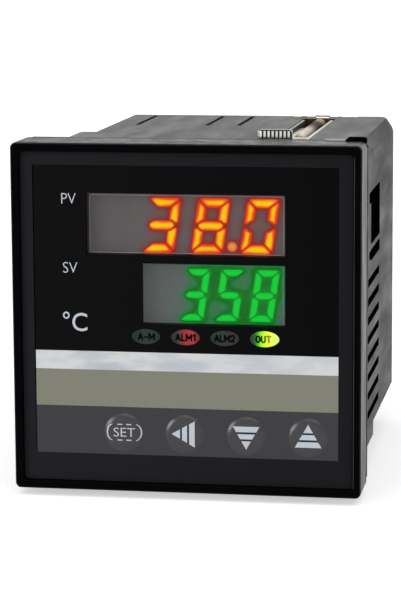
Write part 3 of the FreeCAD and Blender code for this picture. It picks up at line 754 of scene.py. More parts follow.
def mount(piece: bpy.types.Object, body: Body, looks: Sequence[Look], nodes: Sequence[str] = (),
          smooth: float = 32.0) -> bpy.types.Object:
    """Finish a new piece and fix it to its body.

    Args:
        piece: The object, with its mesh in metres in the row frame.
        body: The body it moves with.
        looks: Its finishes, in the order of its material indices.
        nodes: CAD nodes that it stands for.
        smooth: Edges that turn more than this many degrees stay sharp.

    Returns:
        The piece.
    """
    bpy.context.scene.collection.objects.link(piece)
    for look in looks:
        piece.data.materials.append(paint(look))
    piece.data.shade_smooth()
    piece.data.set_sharp_from_angle(angle=math.radians(smooth))
    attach(piece, body.value)
    if nodes:
        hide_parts(*nodes)
    LOG.info("%s rides on %s, %d faces", piece.name, body.value, len(piece.data.polygons))
    return piece


def dress(node: str, look: Look) -> None:
    """Give a CAD node that stays in view its finish.

    Args:
        node: The CAD node.
        look: The finish.
    """
    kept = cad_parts[node]
    if not kept.data.materials:
        kept.data.materials.append(None)
    for material_slot in kept.material_slots:
        material_slot.material = paint(look)
    LOG.info("%s keeps its own shape", node)


Picker = Callable[[Vector, Vector], int]


def softened(node: str, name: str, body: Body, looks: Sequence[Look], rounding: float, segments: int = 2,
             cuts: Sequence[tuple[int, float]] = (), pick: Picker | None = None,
             moves: Sequence[tuple[float, float]] = (), wide: float = 0.0) -> bpy.types.Object:
    """A copy of a CAD node with its sharp edges rounded, standing for the node.

    Args:
        node: The CAD node.
        name: Name of the new piece.
        body: The body it moves with.
        looks: Its finishes.
        rounding: Width of the rounding.
        segments: Facets across the rounding.
        cuts: Planes that part its faces, each an axis number and a place along it.
        pick: Gives a face's finish number from its middle and its normal.
        moves: Places along X whose points go elsewhere, each with the new place.
        wide: Width of the rounding along the four long corners, where it differs.

    Returns:
        The piece.
    """
    work = bmesh.new()
    work.from_mesh(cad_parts[node].data)
    for vertex in work.verts:
        for old, new in moves:
            if abs(vertex.co.x / MM - old) < 0.05:
                vertex.co.x = new * MM
    bmesh.ops.remove_doubles(work, verts=work.verts, dist=0.002 * MM)
    bmesh.ops.dissolve_limit(work, angle_limit=math.radians(0.5), verts=work.verts, edges=work.edges)
    for axis, place in cuts:
        point, normal = Vector(), Vector()
        point[axis], normal[axis] = place * MM, 1.0
        everything = [*work.verts, *work.edges, *work.faces]
        bmesh.ops.bisect_plane(work, geom=everything, plane_co=point, plane_no=normal)
    if wide:
        long_corners = [edge for edge in work.edges if is_long_corner(edge)]
        bmesh.ops.bevel(work, geom=long_corners, offset=wide * MM, segments=4, profile=0.5, affect="EDGES",
                        clamp_overlap=True)
        work.normal_update()
    for face in work.faces:
        face.material_index = pick(face.calc_center_median() / MM, face.normal) if pick else 0
    mesh = bpy.data.meshes.new(name)
    work.to_mesh(mesh)
    work.free()
    piece = bpy.data.objects.new(name, mesh)
    if rounding:
        edge = piece.modifiers.new("rounding", "BEVEL")
        edge.width = rounding * MM
        edge.segments = segments
        edge.limit_method = "ANGLE"
        edge.angle_limit = math.radians(32.0)
        edge.harden_normals = True
    return mount(piece, body, looks, [node])


def is_long_corner(edge: bmesh.types.BMEdge) -> bool:
    """Whether an edge runs along Y at one of the housing's four outer corners.

    Args:
        edge: An edge of the housing.

    Returns:
        True for an edge of the slanted strips between the housing's sides.
    """
    first, second = edge.verts[0].co / MM, edge.verts[1].co / MM
    run = second - first
    outside = min(abs(first.x), abs(first.z)) > 38.0 and max(abs(first.x), abs(first.z)) > 45.0
    straight = abs(run.y) > 20.0 and abs(run.x) + abs(run.z) < 0.1
    return outside and straight and math.radians(30.0) < edge.calc_face_angle(0.0) < math.radians(60.0)


class Shape:
    """A mesh under construction: points, faces, their finish numbers and a point attribute."""

    def __init__(self) -> None:
        """Start with nothing."""
        self.points: list[Point3] = []
        self.faces: list[Face] = []
        self.paints: list[int] = []
        self.values: list[float] = []
        self.paint = 0

    def add(self, points: Iterable[Point3], faces: Iterable[Face],
            values: Iterable[float] | None = None) -> None:
        """Add points and faces.

        Args:
            points: The points.
            faces: The faces, as numbers counted from the first of these points.
            values: The attribute at each point.
        """
        start = len(self.points)
        fresh = [tuple(point) for point in points]
        self.points += fresh
        self.values += list(values) if values is not None else [0.0] * len(fresh)
        for face in faces:
            self.faces.append(tuple(start + index for index in face))
            self.paints.append(self.paint)

    def block(self, low: Sequence[float], high: Sequence[float], rounding: float, segments: int = 2) -> None:
        """Add a block with rounded edges.

        Args:
            low: Its lowest corner.
            high: Its highest corner.
            rounding: Width of the rounding.
            segments: Facets across the rounding.
        """
        work = bmesh.new()
        bmesh.ops.create_cube(work, size=1.0)
        for vertex in work.verts:
            vertex.co = Vector((low[i] + high[i]) / 2.0 + vertex.co[i] * (high[i] - low[i]) for i in range(3))
        self._absorb(work, rounding, segments)

    def prism(self, outline: Sequence[Point2], y: Range, rounding: float, segments: int) -> None:
        """Add an outline drawn out along Y.

        Args:
            outline: Its points in X and Z.
            y: Where it starts and ends.
            rounding: Width of the rounding of its edges.
            segments: Facets across the rounding.
        """
        work = bmesh.new()
        rings = [[work.verts.new((x, depth, z)) for x, z in outline] for depth in y]
        work.faces.new(rings[0])
        work.faces.new(rings[1][::-1])
        for i in range(len(outline)):
            j = (i + 1) % len(outline)
            work.faces.new((rings[0][j], rings[0][i], rings[1][i], rings[1][j]))
        self._absorb(work, rounding, segments)

    def _absorb(self, work: bmesh.types.BMesh, rounding: float, segments: int) -> None:
        """Round a closed mesh's sharp edges and take it in.

        Args:
            work: The mesh, which is freed.
            rounding: Width of the rounding.
            segments: Facets across the rounding.
        """
        bmesh.ops.recalc_face_normals(work, faces=work.faces)
        sharp = [edge for edge in work.edges if edge.calc_face_angle(0.0) > math.radians(40.0)]
        bmesh.ops.bevel(work, geom=sharp, offset=rounding, segments=segments, profile=0.5,
                        affect="EDGES", clamp_overlap=True)
        work.verts.index_update()
        self.add([vertex.co[:] for vertex in work.verts],
                 [tuple(vertex.index for vertex in face.verts) for face in work.faces])
        work.free()

    def turned(self, profile: Sequence[Point2], centre: Sequence[float], axis: Axis, steps: int = 32,
               stripe: Callable[[int], int] | None = None) -> None:
        """Add a turned shape.

        Args:
            profile: Radius and distance along the axis, from one end to the other.
            centre: Where the axis starts.
            axis: Its direction.
            steps: Facets around.
            stripe: The finish number of each facet around, if they differ.
        """
        ahead = Vector(axis.value)
        side = Vector((0.0, 0.0, 1.0)) if abs(ahead.z) < 0.5 else Vector((1.0, 0.0, 0.0))
        up = ahead.cross(side)
        start = len(self.points)
        for radius, distance in profile:
            for k in range(steps):
                turn = math.tau * k / steps
                spoke = side * math.cos(turn) + up * math.sin(turn)
                self.points.append(tuple(Vector(centre) + ahead * distance + spoke * radius))
                self.values.append(0.0)
        for ring in range(len(profile) - 1):
            for k in range(steps):
                after = (k + 1) % steps
                low, high = start + ring * steps, start + (ring + 1) * steps
                self.faces.append((low + k, low + after, high + after, high + k))
                self.paints.append(stripe(k) if stripe else self.paint)
        last = start + (len(profile) - 1) * steps
        for cap in (tuple(start + k for k in reversed(range(steps))), tuple(last + k for k in range(steps))):
            self.faces.append(cap)
            self.paints.append(self.paint)

    def slab(self, outline: Sequence[Point2], faces: Sequence[Face], front: Callable[[float, float], float],
             thickness: float, values: Sequence[float] | None = None, rear_facing: bool = False) -> None:
        """Add a thin layer.

        Args:
            outline: Its points in X and Z.
            faces: Its faces, counterclockwise as seen from the front.
            front: Depth of its visible face at each point.
            thickness: How far it reaches in behind that face.
            values: The attribute at each point.
            rear_facing: True where the visible face looks along +Y, with X counted to the left.
        """
        count = len(outline)
        sign = -1.0 if rear_facing else 1.0
        shown = [(sign * x, front(x, z), z) for x, z in outline]
        hidden = [(x, y + sign * thickness, z) for x, y, z in shown]
        edges = {(face[i], face[(i + 1) % len(face)]) for face in faces for i in range(len(face))}
        walls = [(b, a, a + count, b + count) for a, b in sorted(edges) if (b, a) not in edges]
        back = [tuple(index + count for index in reversed(face)) for face in faces]
        self.add(shown + hidden, [*faces, *back, *walls], None if values is None else list(values) * 2)

    def flat(self, outline: Sequence[Point2], y: float, thickness: float, faces: Sequence[Face] = (),
             values: Sequence[float] | None = None) -> None:
        """Add a thin flat layer.

        Args:
            outline: Its points in X and Z.
            y: Depth of its visible face.
            thickness: How far it reaches in behind that face.
            faces: Its faces, where the points don't go round a single one.
            values: The attribute at each point.
        """
        self.slab(outline, faces or [tuple(range(len(outline)))], lambda x, z: y, thickness, values)

    def piece(self, name: str, body: Body, looks: Sequence[Look], nodes: Sequence[str] = (),
              smooth: float = 32.0, attribute: str | None = None) -> bpy.types.Object:
        """Turn the shape into a piece.

        Args:
            name: The piece's name.
            body: The body it moves with.
            looks: Its finishes, in the order of the finish numbers.
            nodes: CAD nodes that it stands for.
            smooth: Edges that turn more than this many degrees stay sharp.
            attribute: Name under which the point values are kept.

        Returns:
            The piece.
        """
        mesh = bpy.data.meshes.new(name)
        mesh.from_pydata([tuple(part * MM for part in point) for point in self.points], [], self.faces)
        mesh.polygons.foreach_set("material_index", self.paints)
        if attribute:
            kept = mesh.attributes.new(attribute, "FLOAT", "POINT")
            kept.data.foreach_set("value", self.values)
        mesh.update()
        return mount(bpy.data.objects.new(name, mesh), body, looks, nodes, smooth)


def circle(centre: Point2, radius: float, count: int = 40) -> list[Point2]:
    """Points of a circle, counterclockwise as seen from the front."""
    turns = [math.tau * k / count for k in range(count)]
    return [(centre[0] + radius * math.cos(t), centre[1] + radius * math.sin(t)) for t in turns]


def eased(outline: Sequence[Point2], radius: float, steps: int = 4) -> list[Point2]:
    """An outline with its corners rounded.

    Args:
        outline: The corners.
        radius: How far from each corner the rounding starts.
        steps: Points along each rounding.

    Returns:
        The rounded outline.
    """
    made = []
    for i, corner in enumerate(outline):
        here = Vector(corner)
        before, after = Vector(outline[i - 1]), Vector(outline[(i + 1) % len(outline)])
        start = here + (before - here).normalized() * min(radius, 0.45 * (before - here).length)
        end = here + (after - here).normalized() * min(radius, 0.45 * (after - here).length)
        for k in range(steps + 1):
            t = k / steps
            made.append(tuple(start * (1 - t) ** 2 + here * 2 * t * (1 - t) + end * t ** 2))
    return made


def rectangle(x: Range, z: Range) -> list[Point2]:
    """The corners of a rectangle, counterclockwise as seen from the front."""
    return [(x[0], z[0]), (x[1], z[0]), (x[1], z[1]), (x[0], z[1])]


def spaced(centre: float, pitch: float, count: int) -> list[float]:
    """Evenly spaced places about a centre."""
    return [centre + (i - (count - 1) / 2.0) * pitch for i in range(count)]


def unpacked(work: bmesh.types.BMesh) -> tuple[list[Point2], list[Face]]:
    """Points and faces of a flat mesh.

    Args:
        work: The mesh in the plane of X and Y, which is freed.

    Returns:
        Its points, and its faces counterclockwise.
    """
    work.verts.index_update()
    points = [(vertex.co.x, vertex.co.y) for vertex in work.verts]
    faces = []
    for face in work.faces:
        indices = [vertex.index for vertex in face.verts]
        faces.append(tuple(indices if face.normal.z >= 0 else indices[::-1]))
    work.free()
    return points, faces


def refined(points: Sequence[Point2], faces: Sequence[Face],
            longest: float) -> tuple[list[Point2], list[Face]]:
    """Flat faces cut into small triangles.

    Args:
        points: Their points.
        faces: The faces.
        longest: The longest edge that a triangle may have.

    Returns:
        Points and triangles.
    """
    work = bmesh.new()
    corners = [work.verts.new((x, z, 0.0)) for x, z in points]
    for face in faces:
        work.faces.new([corners[index] for index in face])
    bmesh.ops.triangulate(work, faces=work.faces)
    for _ in range(6):
        long_edges = [edge for edge in work.edges if edge.calc_length() > longest]
        if not long_edges:
            break
        bmesh.ops.subdivide_edges(work, edges=long_edges, cuts=1)
        bmesh.ops.triangulate(work, faces=work.faces)
    return unpacked(work)


def lettering(text: str, x: Range, z: Range, weight: float = 0.0) -> tuple[list[Point2], list[Face]]:
    """Flat letters fitted into a rectangle.

    Args:
        text: What they say.
        x: The rectangle's ends along X.
        z: Its ends along Z.
        weight: Added to the strokes, as a share of the letter size.

    Returns:
        Points and faces.
    """
    curve = bpy.data.curves.new("letters", "FONT")
    curve.body = text
    curve.offset = weight
    curve.resolution_u = 4
    holder = bpy.data.objects.new("letters", curve)
    bpy.context.scene.collection.objects.link(holder)
    flat = bpy.data.meshes.new_from_object(holder.evaluated_get(bpy.context.evaluated_depsgraph_get()))
    work = bmesh.new()
    work.from_mesh(flat)
    bmesh.ops.remove_doubles(work, verts=work.verts, dist=1e-5)
    raw, faces = unpacked(work)
    bpy.data.objects.remove(holder)
    bpy.data.curves.remove(curve)
    bpy.data.meshes.remove(flat)
    low = [min(point[i] for point in raw) for i in (0, 1)]
    size = [max(point[i] for point in raw) - low[i] for i in (0, 1)]
    stretch = ((x[1] - x[0]) / size[0], (z[1] - z[0]) / size[1])
    points = [(x[0] + (a - low[0]) * stretch[0], z[0] + (b - low[1]) * stretch[1]) for a, b in raw]
    return points, faces


# Each letter's width and its lines of strokes, on a square from 0 to 1.
STROKES: dict[str, tuple[float, list[list[Point2]]]] = {
    "A": (1.0, [[(0.0, 0.0), (0.5, 1.0), (1.0, 0.0)], [(0.2, 0.34), (0.8, 0.34)]]),
    "M": (1.15, [[(0.0, 0.0), (0.0, 1.0), (0.5, 0.3), (1.0, 1.0), (1.0, 0.0)]]),
    "L": (0.7, [[(0.0, 1.0), (0.0, 0.0), (1.0, 0.0)]]),
    "1": (0.4, [[(0.0, 0.78), (1.0, 1.0), (1.0, 0.0)]]),
    "2": (0.9, [[(0.0, 0.76), (0.2, 0.95), (0.5, 1.0), (0.85, 0.93), (1.0, 0.72), (0.8, 0.46),
                 (0.0, 0.0), (1.0, 0.0)]]),
    "O": (0.85, [[(0.5, 1.0), (0.12, 0.88), (0.0, 0.6), (0.0, 0.4), (0.12, 0.12), (0.5, 0.0),
                  (0.88, 0.12), (1.0, 0.4), (1.0, 0.6), (0.88, 0.88), (0.5, 1.0)]]),
    "U": (0.85, [[(0.0, 1.0), (0.0, 0.3), (0.15, 0.08), (0.5, 0.0), (0.85, 0.08), (1.0, 0.3), (1.0, 1.0)]]),
    "T": (0.9, [[(0.0, 1.0), (1.0, 1.0)], [(0.5, 1.0), (0.5, 0.0)]]),
    "-": (0.6, [[(0.0, 0.45), (1.0, 0.45)]]),
}


def stroked(text: str, x: Range, z: Range, width: float) -> list[list[Point2]]:
    """Bold condensed letters made of straight strokes.

    Args:
        text: Letters that STROKES has.
        x: Ends of the word along X.
        z: Its foot and its top.
        width: Width of the strokes.

    Returns:
        One four-cornered outline for each stroke.
    """
    space = 0.42
    total = sum(STROKES[letter][0] for letter in text) + space * (len(text) - 1)
    unit = (x[1] - x[0] - width) / total
    rise = z[1] - z[0] - width
    start, made = x[0] + width / 2.0, []
    for letter in text:
        advance, lines = STROKES[letter]
        for line in lines:
            placed = [Vector((start + a * advance * unit, z[0] + width / 2.0 + b * rise)) for a, b in line]
            for first, second in zip(placed, placed[1:]):
                along = (second - first).normalized() * width / 2.0
                across = Vector((-along.y, along.x))
                ends = (first - along * 0.6, second + along * 0.6)
                made.append([tuple(ends[0] - across), tuple(ends[1] - across),
                             tuple(ends[1] + across), tuple(ends[0] + across)])
        start += (advance + space) * unit
    return made


# ---- housing and its clamps
@dataclass(frozen=True)
class PryPocket:
    """The small hollow at the top right corner of bezel and housing, and its twin half a turn away; their
    faces are painted black as shade.
    """

    x: float = 41.9
    y: Range = (-7.6, -1.1)
    z: Range = (46.5, 47.75)

    def holds(self, place: Vector) -> bool:
        """Whether a place lies in one of the hollows."""
        inside = self.y[0] < place.y < self.y[1] and self.z[0] < abs(place.z) < self.z[1]
        return inside and abs(place.x) > self.x and place.x * place.z > 0.0


@dataclass
class Housing:
    """The moulded housing that stays in the panel."""

    rounding: float = 0.3
    corner_rounding: float = 0.9
    outside: float = 45.8
    wall: float = 2.6
    opening_half: float = 43.0
    opening_front: float = 1.0
    pocket: PryPocket = PryPocket()

    def build(self) -> None:
        """Build the shell."""
        looks = [Palette.housing, Palette.housing_shaded_side, Palette.hollow]
        softened("housing", "housing_shell", Body.HOUSING, looks, self.rounding, pick=self.finish,
                 wide=self.corner_rounding)

    def finish(self, place: Vector, normal: Vector) -> int:
        """Choose a finish: the sides get a darker, less reflective copy of the plastic as painted shade, and
        the walls of the openings in them and the pry pockets are painted black as shade.

        Args:
            place: The face's middle.
            normal: Its normal.

        Returns:
            Its finish number.
        """
        in_wall = self.outside - self.wall < abs(place.x) < self.outside and abs(place.z) < self.opening_half
        in_opening = in_wall and abs(normal.x) < 0.5 and place.y > self.opening_front
        # painted shade: the walls of the side openings and the pry pockets are painted black
        if in_opening or self.pocket.holds(place):
            return 2
        # painted shade: the sides take the darker copy
        return 1 if abs(normal.x) > 0.6 else 0


@dataclass
class ClampSet:
    """One panel clamp with its screw and nut."""

    end: str
    clamp_body: Body
    screw_body: Body
    rounding: float = 0.13
    pitch: float = 0.7
    thread_depth: float = 0.36
    slotted_end: float = 1.6
    tip: float = 1.0
    slot_width: float = 0.8
    slot_depth: float = 0.9
    foot_depth: float = 1.7
    foot_height: float = 4.0
    foot_border: float = 0.5
    rib_gap_y: Range = (0.3, 0.5)
    foot_shade: float = 47.95
    deck_level: float = 44.5
    deck_rear: float = 70.0
    centre: float = 23.9
    channel: float = 3.85
    groove: float = 4.95

    def build(self) -> None:
        """Build clamp, nut and threaded screw."""
        self.turn = 1.0 if self.end == "top" else -1.0
        self.low, self.high = span(self.end + "_clamp")
        looks = [Palette.clamp, Palette.clamp_shaded_inside, Palette.clamp_foot_shade, Palette.clamp_lit_foot,
                 Palette.clamp_shaded_top, Palette.clamp_deck]
        cuts = [(0, self.low.x + self.foot_border), (0, self.high.x - self.foot_border),
                (2, self.turn * self.foot_shade)]
        softened(self.end + "_clamp", self.end + "_clamp_plate", self.clamp_body, looks, self.rounding,
                 cuts=cuts, pick=self.finish)
        softened(self.end + "_clamp_nut", self.end + "_nut", Body.HOUSING, [Palette.nut], 0.12)
        self.deck()
        self.groove_end()
        self.screw()

    def twin_blocks(self, shape: Shape, x: Range, y: Range, z: Range, rounding: float) -> None:
        """Add a block on either side of the screw.

        Args:
            shape: Where they go.
            x: Their sides, as distances from the screw's axis.
            y: Their ends.
            z: Their foot and top, as distances from the housing's middle.
            rounding: Width of the rounding of their edges.
        """
        for side in (-1.0, 1.0):
            left, right = sorted(self.turn * self.centre + side * reach for reach in x)
            foot, top = sorted(self.turn * level for level in z)
            shape.block((left, y[0], foot), (right, y[1], top), rounding)

    def deck(self) -> None:
        """Build the raised deck behind the foot where it is slit for the screw."""
        shape = Shape()
        start = span(self.end + "_clamp_screw")[0].y - 0.6
        self.twin_blocks(shape, (2.0, self.channel), (start, self.deck_rear),
                         (self.deck_level - 0.5, self.deck_level), 0.08)
        shape.piece(self.end + "_clamp_deck", self.clamp_body, [Palette.clamp_deck])

    def groove_end(self) -> None:
        """Build the stops that close the groove beside the screw, behind the nut."""
        shape = Shape()
        start = span(self.end + "_clamp_nut")[1].y + 0.4
        rear = span("housing")[1].y - 0.1
        self.twin_blocks(shape, (2.15, self.groove - 0.05), (start, rear), (41.2, 45.8), 0.15)
        self.twin_blocks(shape, (0.0, 2.3), (rear - 1.2, rear), (45.83, 46.15), 0.08)
        shape.piece(self.end + "_groove_end", Body.HOUSING, [Palette.terminal])

    def finish(self, place: Vector, normal: Vector) -> int:
        """Choose a finish: plated tops; painted shade on all upright faces, the channel floor and the tops
        inboard of the channel; the slit deck; and a foot made lighter as a painted highlight but dark between
        its ribs and on its inner part as painted shade.

        Args:
            place: The face's middle.
            normal: Its normal.

        Returns:
            Its finish number.
        """
        outer = max(self.high.z, -self.low.z)
        behind = place.y - self.low.y
        if behind < self.foot_depth and abs(place.z) > outer - self.foot_height:
            # the foot takes the lighter copy as a painted highlight, and painted shade between its ribs and
            # below foot_shade, but never on its border
            border = min(place.x - self.low.x, self.high.x - place.x) < self.foot_border
            hidden = self.rib_gap_y[0] < behind < self.rib_gap_y[1] or abs(place.z) < self.foot_shade
            return 2 if normal.y < -0.9 and not border and hidden else 3
        # painted shade: upright faces and faces below the deck
        if abs(normal.z) < 0.7 or abs(place.z) < self.deck_level - 0.1:
            return 1
        if abs(place.z) < self.deck_level + 0.1:
            return 5
        # painted shade on the tops inboard of the channel
        return 4 if abs(place.x) < self.centre - self.channel else 0

    def screw(self) -> None:
        """Build the screw: pointed tip, thread and slotted end."""
        node = self.end + "_clamp_screw"
        low, high = span(node)
        x, z = (low.x + high.x) / 2.0, (low.z + high.z) / 2.0
        crest = (high.x - low.x) / 2.0
        root = crest - self.thread_depth
        shape = Shape()
        tip = [(0.55 * root, 0.0), (root, self.tip * 0.7), (root, self.tip)]
        shape.turned(tip, (x, low.y, z), Axis.Y, 28)
        neck_y = high.y - self.slotted_end
        neck = [(root, 0.0), (crest - 0.15, 0.2), (crest - 0.15, self.slotted_end - self.slot_depth)]
        shape.turned(neck, (x, neck_y, z), Axis.Y, 28)
        self.thread(shape, (x, z), (low.y + self.tip - 0.2, neck_y + 0.1), root, crest)
        for side in (-1.0, 1.0):
            outline = self.half_disc(side, crest - 0.15)
            placed = [(x + a, z + self.turn * b) for a, b in outline]
            shape.prism(placed, (high.y - self.slot_depth, high.y), 0.1, 1)
        shape.piece(self.end + "_screw", self.screw_body, [Palette.screw], [node], smooth=25.0)

    def half_disc(self, side: float, radius: float) -> list[Point2]:
        """The part of the screw's end on one side of the driver slot.

        Args:
            side: The side, -1 or 1.
            radius: Radius of the end.

        Returns:
            Its outline about the axis.
        """
        edge = self.slot_width / 2.0
        reach = math.acos(edge / radius)
        turns = [-reach + 2.0 * reach * k / 10 for k in range(11)]
        return [(side * radius * math.cos(t), radius * math.sin(t)) for t in turns]

    def thread(self, shape: Shape, axis: Point2, y: Range, root: float, crest: float,
               steps: int = 22) -> None:
        """Add the helical thread as one ribbon.

        Args:
            shape: Where it goes.
            axis: X and Z of the screw's axis.
            y: Where it starts and ends.
            root: Radius between the crests.
            crest: Radius of the crests.
            steps: Facets for each turn.
        """
        profile = ((0.0, root), (0.38, crest), (0.52, crest), (0.9, root))
        turns = int((y[1] - y[0]) / self.pitch)
        rows, around = len(profile), turns * steps
        points = []
        for i in range(around + steps + 1):
            angle = math.tau * i / steps
            for share, radius in profile:
                depth = min(y[1], y[0] + self.pitch * (i / steps + share))
                points.append((axis[0] + radius * math.sin(angle), depth, axis[1] + radius * math.cos(angle)))
        faces = []
        for i in range(around):
            for j in range(rows):
                here, ahead = i * rows + j, (i + 1) * rows + j
                if j < rows - 1:
                    faces.append((here, here + 1, ahead + 1, ahead))
                else:
                    faces.append((here, (i + steps) * rows, (i + 1 + steps) * rows, ahead))
        shape.add(points, faces)


# ---- front
@dataclass
class Front:
    """Bezel, overlay film, its printed fields and the plain lettering."""

    rounding: float = 0.12
    key_hole: float = 5.43
    ink: float = 0.012
    pv_name_x: Range = (-34.1, -30.1)
    sv_name_x: Range = (-33.9, -29.9)
    pv_name_z: Range = (31.3, 34.2)
    sv_name_z: Range = (12.35, 15.3)
    unit_x: Range = (-34.1, -27.3)
    unit_z: Range = (-3.75, 1.6)
    # ends along X of the painted glint line on the rim's front, and its half height
    line_x: Range = (45.83, 46.09)
    line_half: float = 45.2
    # widths of the painted shade band at the seam with the housing, on the sides and on the top
    seam_shade: float = 1.7
    top_seam_shade: float = 0.8
    field_moves: tuple[tuple[float, float], ...] = ((-41.85, -42.15), (41.85, 41.70), (27.5, 27.2))
    # the near-black block that fills each pry pocket as painted shade, and the lip painted light grey as a
    # highlight
    pocket_shade: tuple[Point3, Point3] = ((42.1, -7.4, 46.7), (47.6, -1.3, 48.8))
    highlight_lip: tuple[Point3, Point3] = ((36.3, -4.95, 47.9), (42.0, -4.25, 48.35))
    pocket: PryPocket = PryPocket()

    def build(self) -> None:
        """Build everything that lies in the bezel's face."""
        self.face = span("bezel")[0].y
        self.seam_rear = span("housing")[0].y - 0.2
        looks = [Palette.bezel, Palette.hollow, Palette.painted_glint, Palette.bezel_lit_side]
        cuts = [(0, self.line_x[0]), (0, self.line_x[1]), (2, self.line_half), (2, -self.line_half),
                (1, self.seam_rear - self.seam_shade), (1, self.seam_rear - self.top_seam_shade)]
        softened("bezel", "bezel_frame", Body.CHASSIS, looks, self.rounding, cuts=cuts, pick=self.finish)
        dress("overlay", Palette.overlay)
        for node, name, look in (("print_display_field", "display_field", Palette.black),
                                 ("print_white_band", "white_band", Palette.white),
                                 ("print_khaki_band", "khaki_band", Palette.khaki)):
            softened(node, name, Body.CHASSIS, [look], 0.0, moves=self.field_moves)
        self.key_field()
        self.names()
        self.pocket_shades()

    def pocket_shades(self) -> None:
        """Build the near-black blocks that fill the two pry pockets as painted shade, each with a raised lip
        beside it whose light grey is a painted highlight.
        """
        pocket_shade, highlight_lip = Shape(), Shape()
        for turn in (1.0, -1.0):
            for shape, (low, high), rounding in ((pocket_shade, self.pocket_shade, 0.8), (highlight_lip, self.highlight_lip, 0.06)):
                x = sorted((turn * low[0], turn * high[0]))
                z = sorted((turn * low[2], turn * high[2]))
                shape.block((x[0], low[1], z[0]), (x[1], high[1], z[1]), rounding, 3)
        pocket_shade.piece("pry_pocket_shades", Body.CHASSIS, [Palette.pocket_shade_black])
        highlight_lip.piece("pry_highlight_lips", Body.CHASSIS, [Palette.highlight_lip])

    def finish(self, place: Vector, normal: Vector) -> int:
        """Choose a finish: the pry pocket and a band at the seam with the housing are painted black as shade,
        a thin line at the right is a painted highlight, and the outer sides and edges get a lighter copy as
        painted sheen.

        Args:
            place: The face's middle.
            normal: Its normal.

        Returns:
            Its finish number.
        """
        outer = max(abs(place.x), abs(place.z)) > 46.9
        # painted shade: a black band on the outer faces just in front of the housing, where bezel and housing
        # meet
        shade_width = self.seam_shade if abs(normal.x) > 0.3 else self.top_seam_shade
        sealed = outer and abs(normal.y) < 0.5 and self.seam_rear - shade_width < place.y < self.seam_rear + 0.2
        if self.pocket.holds(place) or sealed:
            return 1
        # painted highlight: a thin strip of the rim's front at the right
        on_glint = self.line_x[0] < place.x < self.line_x[1] and abs(place.z) < self.line_half
        if on_glint and place.y < self.face + 0.02:
            return 2
        # painted sheen: the outer sides and rounded edges take the lighter copy
        return 3 if abs(normal.y) < 0.97 and outer else 0

    def key_field(self) -> None:
        """Build the grey field, drawn close round each key."""
        low, high = span("print_key_field")
        low.x, high.x = self.field_moves[0][1], self.field_moves[1][1]
        keys = [middle(node + "_key") for node in ("set", "shift", "down", "up")]
        shape = Shape()
        edges = [(a.x + b.x) / 2.0 for a, b in zip(keys, keys[1:])]
        half = (keys[1].x - keys[0].x) / 2.0
        borders = [keys[0].x - half, *edges, high.x]
        for key, left, right in zip(keys, borders, borders[1:]):
            self.ring_cell(shape, (key.x, key.z), (left, right), (low.z, high.z), low.y, high.y - low.y)
        shape.flat(rectangle((low.x, borders[0]), (low.z, high.z)), low.y, high.y - low.y)
        shape.piece("key_field", Body.CHASSIS, [Palette.grey], ["print_key_field"])

    def ring_cell(self, shape: Shape, centre: Point2, x: Range, z: Range, y: float,
                  thickness: float) -> None:
        """Add a rectangle with a round hole.

        Args:
            shape: Where it goes.
            centre: Centre of the hole.
            x: Ends of the rectangle along X.
            z: Its ends along Z.
            y: Depth of its front.
            thickness: How far it reaches in.
        """
        corners = [math.atan2(b - centre[1], a - centre[0]) % math.tau for a in x for b in z]
        turns = sorted([math.tau * k / 64 for k in range(64)] + corners)
        points = []
        for turn in turns:
            c, s = math.cos(turn), math.sin(turn)
            points.append((centre[0] + self.key_hole * c, centre[1] + self.key_hole * s))
            reach_x = ((x[1] if c > 0 else x[0]) - centre[0]) / c if abs(c) > 1e-9 else math.inf
            reach_z = ((z[1] if s > 0 else z[0]) - centre[1]) / s if abs(s) > 1e-9 else math.inf
            reach = min(reach_x, reach_z)
            points.append((centre[0] + reach * c, centre[1] + reach * s))
        count = len(turns)
        pairs = [(2 * i, 2 * ((i + 1) % count)) for i in range(count)]
        shape.flat(points, y, thickness, [(here, here + 1, after + 1, after) for here, after in pairs])

    def names(self) -> None:
        """Print the names of the two readings and the unit."""
        depth = span("print_display_field")[0].y - self.ink
        shape = Shape()
        rows = (("PV", self.pv_name_x, self.pv_name_z, -0.012),
                ("SV", self.sv_name_x, self.sv_name_z, -0.012),
                ("°C", self.unit_x, self.unit_z, 0.004))
        for text, x, z, weight in rows:
            points, faces = lettering(text, x, z, weight)
            shape.flat(points, depth, self.ink, faces)
        shape.piece("reading_names", Body.CHASSIS, [Palette.ink])


# The lit bars of each digit: a to f clockwise from the top, g in the middle.
LIT = {"3": "abcdg", "8": "abcdefg", "0": "abcdef", "5": "acdfg", " ": ""}


